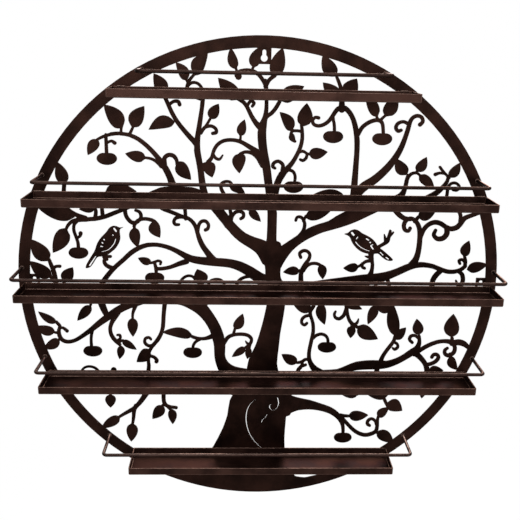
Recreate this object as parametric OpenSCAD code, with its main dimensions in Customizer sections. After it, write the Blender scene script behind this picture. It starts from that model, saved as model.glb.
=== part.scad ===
// Round wall rack for small bottles: a tree cut from one steel sheet inside a flat rim,
// five folded trays, five wire guard rails and three keyhole tabs, all welded together.
// X runs to the right, Y runs back to the wall, Z is up. The origin is the centre of the
// round part of the top keyhole, on the wall.

/* [Panel] */
// Outer diameter of the round panel
rim_d = 580; // [570:1:600]
// Width of the flat rim band
rim_band = 13.5; // [12:0.5:16]
// Thickness of the panel sheet
sheet_t = 2; // [1.5:0.1:3]
// Height of the ground left solid at the foot of the tree
ground_h = 34; // [28:1:36]
// Width of the thin slits cut in the trunk and the birds
slit_w = 0.8; // [0.7:0.1:1.2]

/* [Fruit] */
// Width of a fruit
fruit_w = 23.4; // [20:0.2:26]
// Height of a fruit
fruit_h = 15; // [12:0.2:17]

/* [Trays] */
// Depth of a tray, from the panel to the outside of its lip
tray_depth = 49; // [40:1:60]
// Height of the walls round a tray
tray_wall_h = 9.6; // [8:0.2:12]
// Thickness of the tray sheet
tray_t = 1.2; // [1:0.1:2]
// Length of the top tray
top_tray_w = 338; // [325:1:345]
// Length of the second tray
second_tray_w = 533; // [520:1:540]
// How far the ends of the middle tray stand inside the rim's outer edge
middle_tray_in = 6; // [3:0.5:10]
// Length of the fourth tray
fourth_tray_w = 526; // [515:1:535]
// Length of the bottom tray
bottom_tray_w = 329; // [315:1:340]
// How far the bottom tray is welded to the right of the middle
bottom_tray_shift = 4.5; // [0:0.5:5]
// Height of the first tray's lip above the centre of the panel
level_1 = 232.5; // [226:0.5:238]
// Height of the second tray's lip
level_2 = 112.5; // [106:0.5:118]
// Height of the third tray's lip
level_3 = 0.5; // [-6:0.5:6]
// Height of the fourth tray's lip
level_4 = -114; // [-120:0.5:-108]
// Height of the fifth tray's lip
level_5 = -223.5; // [-230:0.5:-218]

/* [Guard rails] */
// Diameter of the rail wire
wire_d = 4; // [3:0.1:5]
// Height of a rail above the lip of its tray
rail_rise = 18.5; // [14:0.5:24]
// Distance of the rail's front run from the panel
rail_reach = 49; // [40:1:60]
// Inside radius of the bends in a rail
rail_bend_r = 3; // [2:0.5:6]
// How far inside the rim's edge the upper three rails are welded
rail_inset = 4.5; // [3.5:0.5:8]
// How far inside the rim's edge the fourth rail is welded
rail_inset_4 = 6; // [5.5:0.5:8]
// How far inside the rim's edge the lowest rail is welded
rail_inset_5 = 10.5; // [4:0.5:10.5]
// How far the fourth rail stands to the right of the panel's centre line
fourth_rail_shift = 2.5; // [0:0.5:2.5]

/* [Keyhole tabs] */
// Thickness of a tab
tab_t = 1.5; // [1.2:0.1:2.5]
// Diameter of the round part of a keyhole
key_d = 7.5; // [6:0.5:8]
// Width of the slot that takes the screw's neck
slot_w = 4.2; // [3:0.2:5]
// Length of the slot above the round part
slot_l = 5.4; // [4:0.2:6]
// Metal left below the round part
key_margin = 2.8; // [2:0.1:3.5]
// Width of the top tab
top_tab_w = 16; // [13:0.5:20]
// How far the top tab hangs below the rim
top_tab_drop = 17.5; // [16:0.5:20]
// How far the top tab reaches up behind the rim
top_tab_lap = 11.5; // [8:0.5:11.5]
// Length of a side tab
side_tab_l = 19; // [18:0.5:24]
// Height of the top of the side tabs above the centre of the panel
side_tab_top = 10.5; // [4:0.5:14]
// How far a side tab reaches in past the inside of the rim
side_tab_in = 11; // [10:0.5:12]
// How far a side tab reaches out behind the rim
side_tab_lap = 8.5; // [6:0.5:9]
// Distance of the keyhole from the inner edge of a side tab
side_key_in = 6.2; // [5.5:0.1:6.5]

/* [Weld beads] */
// Radius of a bead in a corner
bead_r = 1.2; // [0.8:0.1:1.2]
// Length of a bead between a tray and the panel
tray_bead_l = 9; // [6:0.5:10]
// Length of a bead between a tab and the rim
tab_bead_l = 6; // [4:0.5:6]
// Width that a rail's bead adds round the wire
rail_bead_w = 1; // [0.7:0.1:1]
// Height of a rail's bead on the rim
rail_bead_h = 1.6; // [1:0.1:2.5]
// Gap between a wire and the bead round it
bead_gap = 0.05; // [0.02:0.01:0.1]

/* [Hidden] */

coat = [0.27, 0.19, 0.16];
bead_coat = [0.33, 0.24, 0.2];
rim_r = rim_d / 2;
// The tree's points, the trays' lengths and their heights are given for a rim 580 mm across
// and scale with the rim
art_scale = rim_d / 580;
level = art_scale * [level_1, level_2, level_3, level_4, level_5];
tray_w = concat(
    art_scale * [top_tray_w, second_tray_w],
    [rim_d - 2 * middle_tray_in],
    art_scale * [fourth_tray_w, bottom_tray_w]);
tray_shift = [0, 0, 0, 0, bottom_tray_shift];
inset = [rail_inset, rail_inset, rail_inset, rail_inset_4, rail_inset_5];
rail_shift = [0, 0, 0, fourth_rail_shift, 0];
rim_in_r = rim_r - rim_band;
top_tab_top = rim_in_r + top_tab_lap;
key_z = rim_in_r - top_tab_drop + key_margin + key_d / 2;
side_tab_x = rim_in_r - side_tab_in;
side_tab_w = side_tab_in + side_tab_lap;
// Where the trunk lies behind the second to the fifth tray
trunk_x = [10, 19.5, 5, -10];

// The tree hangs this much below the rim's centre
art_drop = 1;
// The laser takes this much off each edge of the drawing
kerf = 0.04;

// Trunk and main limbs. Each point is [x, height, width].
TRUNK = [
    [[-13, -262, 132], [-9.7, -226, 94], [-4.8, -202, 81.5], [-1.5, -181, 76], [0.5, -160, 74],
        [4, -135, 58],
     [5, -112, 40], [5.5, -100, 36], [10.5, -80, 29], [14, -60, 25], [17.7, -40, 23.5],
         [20.5, -18, 22.5],
     [17.5, 2, 20], [15.3, 12, 18.5], [15, 24, 19.5], [15, 34, 27], [14, 45, 26]],
    [[12.5, 40, 16], [12.7, 60, 11.8], [12.8, 90, 11.5], [10, 112, 10.5], [7.5, 126, 9.6],
        [5.5, 140, 9.8],
     [3.8, 150, 9.8], [1.4, 160, 10.2], [-0.4, 172, 10.2], [-1.2, 184, 10.2], [0, 194, 9],
         [2.4, 202, 6.2],
     [3.5, 212, 4.8], [3.3, 224, 4.6], [2.4, 236, 5.4], [1.6, 242, 5]],
    [[12, 36, 26], [2, 47, 20], [-10, 53.5, 15], [-22, 60, 13], [-31, 68, 12.5], [-39, 77, 12],
        [-46, 86, 12],
     [-54, 96, 12], [-66, 107, 13], [-83, 113, 14], [-100, 114.5, 14], [-118, 112.5, 13],
         [-136, 108, 6]],
    [[16, 32, 26], [25, 40, 17], [34, 49, 12.5], [43, 56.3, 11], [51, 62, 11], [59, 67, 12],
        [71, 72.3, 11.5],
     [82, 75.8, 11.8], [92, 80.5, 15], [104, 86, 17], [118, 92.5, 17], [136, 99.5, 13], [153, 106, 11],
     [164, 112, 8.5], [168.5, 121, 5.4], [170, 130, 5], [171.5, 137, 4.4]],
    [[20, -2, 22], [9, 2.5, 18], [-2, 9.8, 14.4], [-13, 17.6, 13], [-25, 24, 12], [-36, 27.3, 10.8],
     [-48, 28.6, 10.6], [-60, 29.5, 10.5], [-72, 30.5, 9.5], [-84, 33, 8.6], [-94, 38.5, 6.8],
         [-103, 43.5, 5.8],
     [-113, 47.5, 5.2], [-124, 49.8, 5], [-135, 49.4, 5.4], [-145, 46, 6], [-155, 39.5, 6],
         [-164, 31, 5.6],
     [-173, 23, 5.6], [-181, 14.5, 6], [-187.5, 6, 6.4], [-193, -4, 7], [-195, -15, 8],
         [-192.5, -26, 8.5],
     [-189, -36, 7.5], [-186, -42, 6]],
    [[20, -6, 16], [42, -3.5, 12], [62, -0.5, 11], [84, 2.7, 12], [105, 5.3, 13], [125, 7.5, 14.5],
     [141, 9.6, 13.5], [154, 13.2, 11], [167, 18.6, 9.2], [178, 24, 8.8], [188, 27.5, 8],
         [199, 28, 6.6],
     [210, 26.2, 6], [219, 22.6, 6], [228, 19.8, 5.6], [237, 19.6, 5.4], [245, 22.3, 5],
         [250, 27, 4.6]],
    [[-14, -128, 34], [-36, -117, 22], [-46, -104, 15], [-49, -92, 13.6], [-49, -80, 14.4],
        [-51, -68, 15],
     [-55, -56, 14.5], [-61.5, -44, 14.5], [-69, -34, 16], [-79, -25, 18], [-95, -18.5, 16],
         [-118, -16, 13],
     [-140, -19, 11.5], [-160, -26.5, 10], [-174, -34, 9.4], [-186, -42.5, 9], [-197, -51, 7.6],
     [-207, -59.5, 6.4], [-217, -67, 5.4], [-227, -73.4, 4.8], [-236, -75.6, 4.8], [-242.5, -73.5, 5],
     [-246, -68, 5], [-246.5, -61, 4.6], [-245, -55, 4.2], [-249, -49.5, 3.6]],
    [[12, -134, 30], [40, -129, 20], [62, -121, 14], [82, -117, 9.5], [100, -115, 8], [112, -110.5, 9],
     [124, -106.5, 11.5], [138, -105, 12.4], [152, -104.8, 12], [164, -103.8, 9.6], [175, -99.5, 8.4],
     [185, -93.5, 8.2], [193, -87.5, 9], [199, -82, 7.5], [201.5, -74, 5.2], [200.5, -65, 4]],
    [[-30, -137, 22], [-62, -130, 14], [-92, -128.5, 11], [-120, -131, 9.5], [-138, -141, 8],
        [-146.5, -153, 6.6],
     [-156, -165, 5.6], [-167, -172.3, 4.8], [-177, -178.8, 3.6]],
    [[26, -160, 44], [40, -160.5, 26.5], [52, -160, 17.5], [66, -161, 13], [79, -164, 10],
        [91, -168, 9], [101, -174.5, 8],
     [107.8, -183, 6.4], [110.8, -192, 5], [111.5, -202, 4.2]]
];

// Branches of the top third, above the second tray
TOP_BRANCHES = [
    [[-96, 111, 12], [-103, 120, 9.5], [-107, 131, 7.8], [-112, 141.5, 7.5], [-117.5, 150, 6.4],
        [-124, 158, 5.6],
     [-132, 166.5, 5.2], [-142, 174.5, 5], [-152, 179.2, 4.8], [-163, 180.8, 4.4], [-173, 179.9, 4.4],
     [-182, 177, 3.8], [-189, 173.5, 3.2]],
    [[-186.4, 83, 5], [-187, 96, 4.4], [-183.5, 108.5, 4.4]],
    [[-196, 80.4, 5], [-194.4, 90, 4.4], [-197, 96, 4.4]],
    [[183.6, 82, 5], [187.6, 87.6, 4.2]],
    [[107, 105, 4.4], [99, 106, 4.4]],
    [[-62, 101, 10], [-67.5, 112, 9.4], [-69.7, 125, 8], [-71.4, 140, 7.4], [-73.4, 152, 7.4],
        [-75.3, 163, 7.6],
     [-75.2, 174, 7], [-73.8, 184, 6], [-72, 195, 5.6], [-70, 208, 5], [-68.4, 222, 5], [-69, 231, 4],
     [-73, 237, 3.6], [-79, 238.8, 3.6], [-84.5, 236, 4], [-86.5, 231, 4.4], [-82, 225, 4.4],
         [-70, 221, 5]],
    [[-76, 170, 7], [-83.5, 178, 6], [-91, 186.5, 5.4], [-98, 195.5, 5.2], [-103.5, 205, 5],
        [-107.5, 214, 4.8],
     [-111.5, 223, 4.6], [-114, 229, 4.4]],
    [[-106.5, 214, 4], [-101.5, 217.5, 4], [-96.5, 217.6, 4.4], [-94.7, 214.2, 4.6]],
    [[-116.5, 144, 5.4], [-122, 149, 4], [-128.5, 152.5, 3.4], [-136, 153.5, 3.2]],
    [[-112.5, 146, 5], [-113, 153, 5.4], [-108.5, 157, 5], [-102.5, 156, 5], [-99, 151, 4.4],
        [-98.5, 146, 4]],
    [[-179, 179, 4], [-179, 169, 4], [-179, 158, 4.2]],
    [[-178, 170, 3.4], [-173, 172, 3.4], [-169.2, 169.8, 4.4]],
    [[-162, 180, 3.6], [-161, 188, 3]],
    [[-152.5, 179, 4], [-147.5, 189, 3]],
    [[-86, 235, 4], [-83.5, 241, 4], [-78.5, 247, 3.4]],
    [[-84.5, 238, 4], [-87, 242, 3.4]],
    [[-71, 183, 4.6], [-66.5, 189, 4.2], [-59.5, 190.8, 4], [-54.2, 188, 4], [-53.4, 183.8, 4.4],
        [-57.5, 182.5, 4]],
    [[-66, 189.5, 3.8], [-60.5, 198.5, 3.4]],
    [[0, 157, 9], [-8, 163.4, 6.6], [-16, 168.3, 5.6], [-25, 173.3, 4.8], [-35, 175.4, 4.4],
        [-45, 174.2, 4.4],
     [-52.2, 169.4, 4.4], [-56.3, 162.5, 4.4], [-58.5, 155, 4.6], [-63, 149, 5.6]],
    [[-57.3, 159, 3.8], [-54.2, 154.4, 3.8], [-49.6, 153, 3.4], [-46, 157.6, 2.2]],
    [[-71.4, 145, 5], [-64, 147.5, 5]],
    [[-26, 174, 3.6], [-25.5, 181, 3]],
    [[1, 147, 8], [-5, 155, 5.4], [-12, 160.6, 4.6], [-20, 161.8, 4], [-26, 159.4, 3.6]],
    [[-1, 188, 8], [-8.5, 195.5, 6], [-13.5, 203, 5.2], [-17.5, 211, 4.8], [-22, 217.5, 4.8],
        [-29, 222, 4.6]],
    [[-18, 215, 4], [-14.5, 219.4, 3.8], [-10.6, 217.4, 4], [-12.6, 213.8, 3.6]],
    [[3, 202, 5.6], [9, 206, 4.8], [13.5, 211.2, 4.8], [17.5, 218, 4.6], [19.5, 222, 4]],
    [[2, 238, 5.4], [-3.5, 246, 4.6], [-9.5, 251, 4.8], [-18, 253, 4.8], [-27, 251.5, 5],
        [-30, 247.5, 6.4]],
    [[-28.6, 246.6, 7.8], [-28.6, 246.2, 7.8]],
    [[2, 236, 5.4], [6, 243, 4.6], [12, 248, 5]],
    [[-13.5, 253, 3.8], [-11.5, 258, 3]],
    [[-30, 249, 4.2], [-31.5, 256, 3]],
    [[11, 102, 10], [15.5, 115, 9], [18.5, 127, 8], [23, 136, 8.4], [29, 143.2, 6.6], [35, 150.5, 5.4],
     [40, 159.6, 5], [43.8, 169, 4.8], [45.4, 178, 4.6], [45, 187, 4.2], [44, 194, 3.8]],
    [[23.5, 141, 5], [23.8, 147.5, 4.6], [18.8, 151.6, 4.2], [13.6, 149.8, 4.2], [12.2, 145.6, 4.4],
     [14.8, 143.6, 3.6]],
    [[26, 139.6, 4.4], [31.5, 141.6, 4], [36.4, 139.4, 4], [38.6, 134, 3.8], [38.2, 128, 3.6]],
    [[108.5, 88, 8], [108, 108, 8.4], [108.6, 125, 7.8], [109, 141, 6.8], [109.4, 160, 6.2],
        [109, 176, 6.4],
     [107, 189, 6.4], [103.8, 199.5, 5.8], [98.6, 208.5, 5.8], [91.5, 214, 6], [85, 212.4, 5.4],
         [80.6, 206.5, 5],
     [76, 199.6, 4.6], [70.4, 195, 4.4], [64, 193, 4.2], [58.2, 194.6, 4.2], [56.6, 199, 4],
         [59.4, 202.4, 3.8],
     [63.4, 202, 4.2]],
    [[79.4, 204, 4.4], [81.4, 196, 3.8], [82.2, 187, 4]],
    [[89.5, 212, 8], [89, 222, 6], [88.3, 232, 5], [85.6, 240, 4.2], [81.8, 248, 3.4]],
    [[109.5, 184, 5.4], [114, 192, 4.8], [121, 197.6, 4.8], [128.5, 200.4, 4.8], [134, 200, 5],
        [137.4, 195.6, 4.2],
     [138.8, 186, 4]],
    [[131.5, 201, 3.8], [129.5, 206, 3.2]],
    [[134.5, 200.5, 3.8], [140.5, 206.5, 3.2]],
    [[106.5, 98, 9], [109, 108, 11], [114, 117, 11], [121.5, 124.4, 11], [130.6, 130.6, 10],
        [139, 138, 9.4], [146, 145.4, 8.8],
     [151.8, 153, 8], [157, 161.5, 7.2], [161.4, 171, 6.4], [164.6, 181, 5.6], [167, 190, 5.4],
         [168.6, 198, 5],
     [171.4, 203.6, 4.6], [176.6, 206.2, 4.6], [181.8, 204.6, 4.4], [183.6, 199.8, 4.4],
         [180.6, 196.2, 4.8]],
    [[167.5, 196.5, 4.6], [161.5, 199.2, 4], [155.4, 197.4, 4.2], [153, 192.6, 4.4],
        [155.6, 188.6, 4.4],
     [159.2, 189.6, 4]],
    [[44.6, 186.5, 3.8], [39, 187, 3.6], [34, 187, 4]],
    [[33.6, 187, 3.6], [32.2, 182, 4], [34.6, 177.6, 4], [37.4, 175, 3]],
    [[42.5, 163, 4.4], [47.2, 163.6, 3.6], [52, 160.8, 3.4], [56, 160.6, 3.6]],
    [[51.6, 161, 3.4], [50.8, 156.2, 3.8], [47.2, 153, 3.8], [44, 154, 3.4]],
    [[171, 134, 4.4], [174.6, 138.8, 4], [180.8, 140.4, 3.4], [186, 137, 3.2]],
    [[180, 140, 3.2], [182.2, 143.6, 3]],
    [[164, 109, 8], [180, 105.5, 7], [196, 110.5, 7], [207.5, 117.6, 6.6], [214, 124.2, 5.4],
        [218.2, 131, 4.4],
     [219, 137, 4]],
    [[219.6, 136, 3.6], [213.6, 141, 3.8], [208.2, 147.6, 3.4]],
    [[214.6, 140, 3.4], [208.4, 140.6, 3.4], [203.4, 138.8, 4.4]],
    [[219.4, 134, 3.4], [222, 137.4, 3]],
    [[206, 104, 4.6], [214.6, 106, 4.4], [219.2, 113, 4], [219.8, 123, 3.8], [223.4, 128.4, 3.6],
     [229.4, 128.6, 3.6], [233.4, 124.2, 3.6], [230.6, 120.4, 3.4], [226, 120.6, 3]],
    [[-229, 124, 4.8], [-230.4, 113, 4.8], [-231, 102, 4.8], [-228.6, 94, 5], [-222.4, 88, 5],
        [-215, 84, 5.4],
     [-207, 81.6, 5.4]],
    [[-36, 88, 4.6], [-38.5, 100, 4.4], [-43, 110, 4.6], [-47.4, 118, 4.4], [-47.4, 124, 4.2],
        [-42.8, 127, 3.6],
     [-37.4, 126.6, 3.4], [-34.6, 123, 3.4]],
    [[-40.6, 104, 3.6], [-30, 106, 3.4], [-21.5, 101, 3.2], [-15.6, 94, 3]]
];

// Branches between the second and third trays
MIDDLE_BRANCHES = [
    [[-135, 108, 5.8], [-147, 100, 5.4], [-160, 93.5, 5.2], [-173, 88, 5.2], [-184, 83.4, 5.2],
        [-196, 80.6, 5.2],
     [-207, 79.6, 5.4], [-216, 79, 5.4], [-223.6, 76.6, 4.6], [-228.4, 71.4, 4], [-230.4, 67, 3.4]],
    [[-216.5, 79, 6], [-220.6, 73, 4], [-221.2, 66, 3.8], [-219.4, 59.4, 3.8], [-217.4, 52, 3.8],
        [-217, 44, 4.4]],
    [[-218.4, 56.4, 3.2], [-214.2, 60, 4], [-213.6, 63, 4.8]],
    [[-160.6, 94, 5], [-159.6, 85.6, 4.8], [-156, 79.4, 4.8], [-150.6, 76, 4.8], [-145, 78.6, 4.4],
     [-141.8, 84, 4.4], [-143.4, 89.4, 4], [-148, 91.4, 3.4]],
    [[-150.4, 72.4, 4], [-147, 78, 4.6], [-141, 81, 4.4], [-134, 81, 4.4], [-127.4, 79, 4.4],
        [-124, 76, 4]],
    [[-150.4, 77, 4], [-150, 69, 3.6]],
    [[-179.5, 34.6, 3.6], [-184.4, 34, 4], [-187.2, 29.4, 4.4], [-185.6, 24.4, 4.8],
        [-180.6, 21.2, 5.2],
     [-176, 20, 5]],
    [[-187, 34, 5], [-184, 31, 4]],
    [[-252.6, 30, 4], [-250.6, 23.6, 4.8], [-248.4, 17, 5.4], [-247, 8, 6], [-245, -3, 6],
        [-235, -10, 6],
     [-217, -12.5, 6], [-195, -10.5, 6.4]],
    [[-249, 19, 5], [-244.6, 21.6, 3.8], [-240.2, 21.8, 3.8]],
    [[-247.6, 4, 4], [-252, 8, 3.6]],
    [[-237.6, -8, 4], [-236.4, 4, 4]],
    [[-132, 27, 3.2], [-127.4, 28.2, 3.4], [-123, 29.8, 3.2], [-119.8, 28.4, 3.4], [-120.4, 25.8, 3.2]],
    [[-127.6, 28, 3.8], [-125.8, 21, 4.6], [-125.6, 13, 4.2]],
    [[-126, 19.6, 4.4], [-117, 20.2, 4.6], [-108, 22.2, 4.8], [-99, 26, 5.8], [-89, 29.4, 7]],
    [[-57, 31, 10], [-63.4, 40, 7.4], [-69, 48, 6.6], [-73, 56.6, 6], [-75.6, 65, 5.2], [-78, 73, 5],
     [-82.4, 79.4, 4.6], [-88.4, 83.4, 4.4], [-95.4, 84.4, 4.8], [-101, 82.6, 4.4], [-103.4, 78.4, 4.2],
     [-101.6, 75, 4], [-97.4, 74.8, 3.2]],
    [[-75.6, 67, 5], [-74, 74.6, 4.4], [-70.6, 79, 4.2], [-65.8, 79.2, 4.2], [-62.6, 75, 4.2],
        [-63.4, 70.4, 4.4],
     [-66.2, 68.6, 4.2]],
    [[-92, 84, 4.6], [-100, 87.4, 4.6], [-108, 90.6, 4.8], [-118, 95, 5], [-126, 104, 5],
        [-130, 110, 5]],
    [[-89.4, 82, 4.4], [-90, 92, 4.4], [-92, 104, 5]],
    [[-41, 74, 6], [-36.8, 79, 5.4], [-35, 85, 4.8], [-31.4, 90, 4.4], [-26, 91.8, 4.4],
        [-21.6, 89.6, 4.4],
     [-21.4, 85.2, 4.2], [-24.4, 82.8, 3.8]],
    [[-37, 82, 4.4], [-36, 90, 4.4]],
    [[46, 61, 7], [50.2, 68.4, 4.8], [51.8, 75.6, 4.4], [50.6, 81.6, 4.2], [47, 85.6, 4],
        [42.6, 85.4, 3.6],
     [41, 81.6, 3.6]],
    [[50, 81, 3.6], [53, 87, 3.6]],
    [[50, -4, 8], [49.6, 6, 6.4], [49.4, 14, 5.8], [51, 21.6, 5], [54.6, 28, 4.8], [58.4, 34, 4.4],
     [59.2, 39.6, 4.2], [56, 43.6, 4.2], [51, 44.2, 4.2], [47, 40.8, 4.2], [48.4, 36, 4.2]],
    [[52, 19, 4.8], [56, 25, 4.4], [62, 28.2, 4], [69, 28, 4], [74.6, 24.6, 4]],
    [[50.6, 17, 4.4], [47.6, 19.6, 3]],
    [[133.4, 12, 8], [135.6, 20, 5], [136, 28, 4.4], [134.6, 34, 5.2], [133.4, 41, 7]],
    [[118.6, 25, 3.2], [123.4, 28, 3.8], [127.6, 31.4, 4], [134, 32.6, 4.6]],
    [[123.6, 28.6, 4], [123.8, 24.4, 3.8], [126.6, 23, 3.8]],
    [[134.4, 36, 5.4], [130, 37.2, 3.6], [126.4, 38, 1.4]],
    [[138.6, 47, 6], [143.6, 51, 4.2], [149, 54.4, 4.6], [152.4, 57.6, 5], [153.8, 63, 4.2],
        [155, 70, 3.2]],
    [[150.4, 56, 4.6], [149.4, 60.6, 3.6], [148, 65.4, 1.6]],
    [[153.6, 62.4, 3.4], [156, 65.2, 3.4], [158.8, 68.4, 2]],
    [[184, 27, 10], [188.6, 35, 7.8], [190.8, 45, 6.6], [191.4, 56, 6.4], [191.2, 66, 6.4],
        [189.2, 75, 5.8],
     [185, 82, 5.4], [179, 85.4, 5.2], [173.4, 83.4, 5.2], [170.8, 77.6, 5.2], [172.4, 71.6, 5],
         [176.8, 70.2, 4.4],
     [178.6, 73.6, 4.4]],
    [[178, 84.6, 5], [170, 86, 6], [162, 92, 6.4], [154, 101, 6]],
    [[191.6, 62, 6], [194.6, 71, 5.6], [200, 78, 5.6], [207.6, 81.2, 6], [215, 79.8, 6], [221, 76, 6],
     [228, 73.4, 6.2], [235, 75.4, 6.4], [239.4, 80.6, 6.2], [243.4, 86.6, 6], [251, 90, 5.2],
         [262, 94.4, 5]],
    [[222.4, 75, 6], [223.6, 67.6, 6.6], [219.4, 61.8, 6.4], [212.6, 61, 6], [208, 65.6, 5],
        [209.6, 71.4, 4.2]],
    [[238.6, 82, 5], [237.4, 92, 4.6], [228, 101, 4.6], [214, 105, 4.6]],
    [[221.6, 21.6, 6], [215.6, 15.6, 6.6], [211.6, 8, 6.4], [211, -2, 6.4]],
    [[241.6, 20.4, 5], [246.8, 16.4, 5.4], [248.8, 9, 5.4], [247, 1.6, 5], [243.4, 2, 4.2],
        [240.4, 8, 2.6]],
    [[249.4, 26, 4.6], [249.6, 33, 4.4], [247.8, 39.4, 3.6]],
    [[249, 31.4, 3.8], [245.6, 35, 3.8], [241.8, 33.6, 3.8], [243, 30, 3.6]],
    [[-98.6, -12, 4], [-98.4, -2, 3.8], [-95, 6.4, 3.6], [-88.6, 11, 3.4], [-82, 10.4, 3.2],
        [-78.4, 5.6, 3]],
    [[-70, -15, 4.6], [-69, -6, 4.4], [-70.6, 2, 4]],
    [[-67, -30, 4.4], [-63.4, -14, 4], [-62.4, 2, 3.6], [-55.6, 6.8, 3.6], [-47.6, 6, 3.6],
        [-43.4, 0, 3.4], [-45.6, -6, 3]],
    [[-10, 12, 5], [-18, 10.4, 4], [-25, 6.6, 4], [-28.6, 0, 4], [-26, -7, 4]]
];

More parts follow.
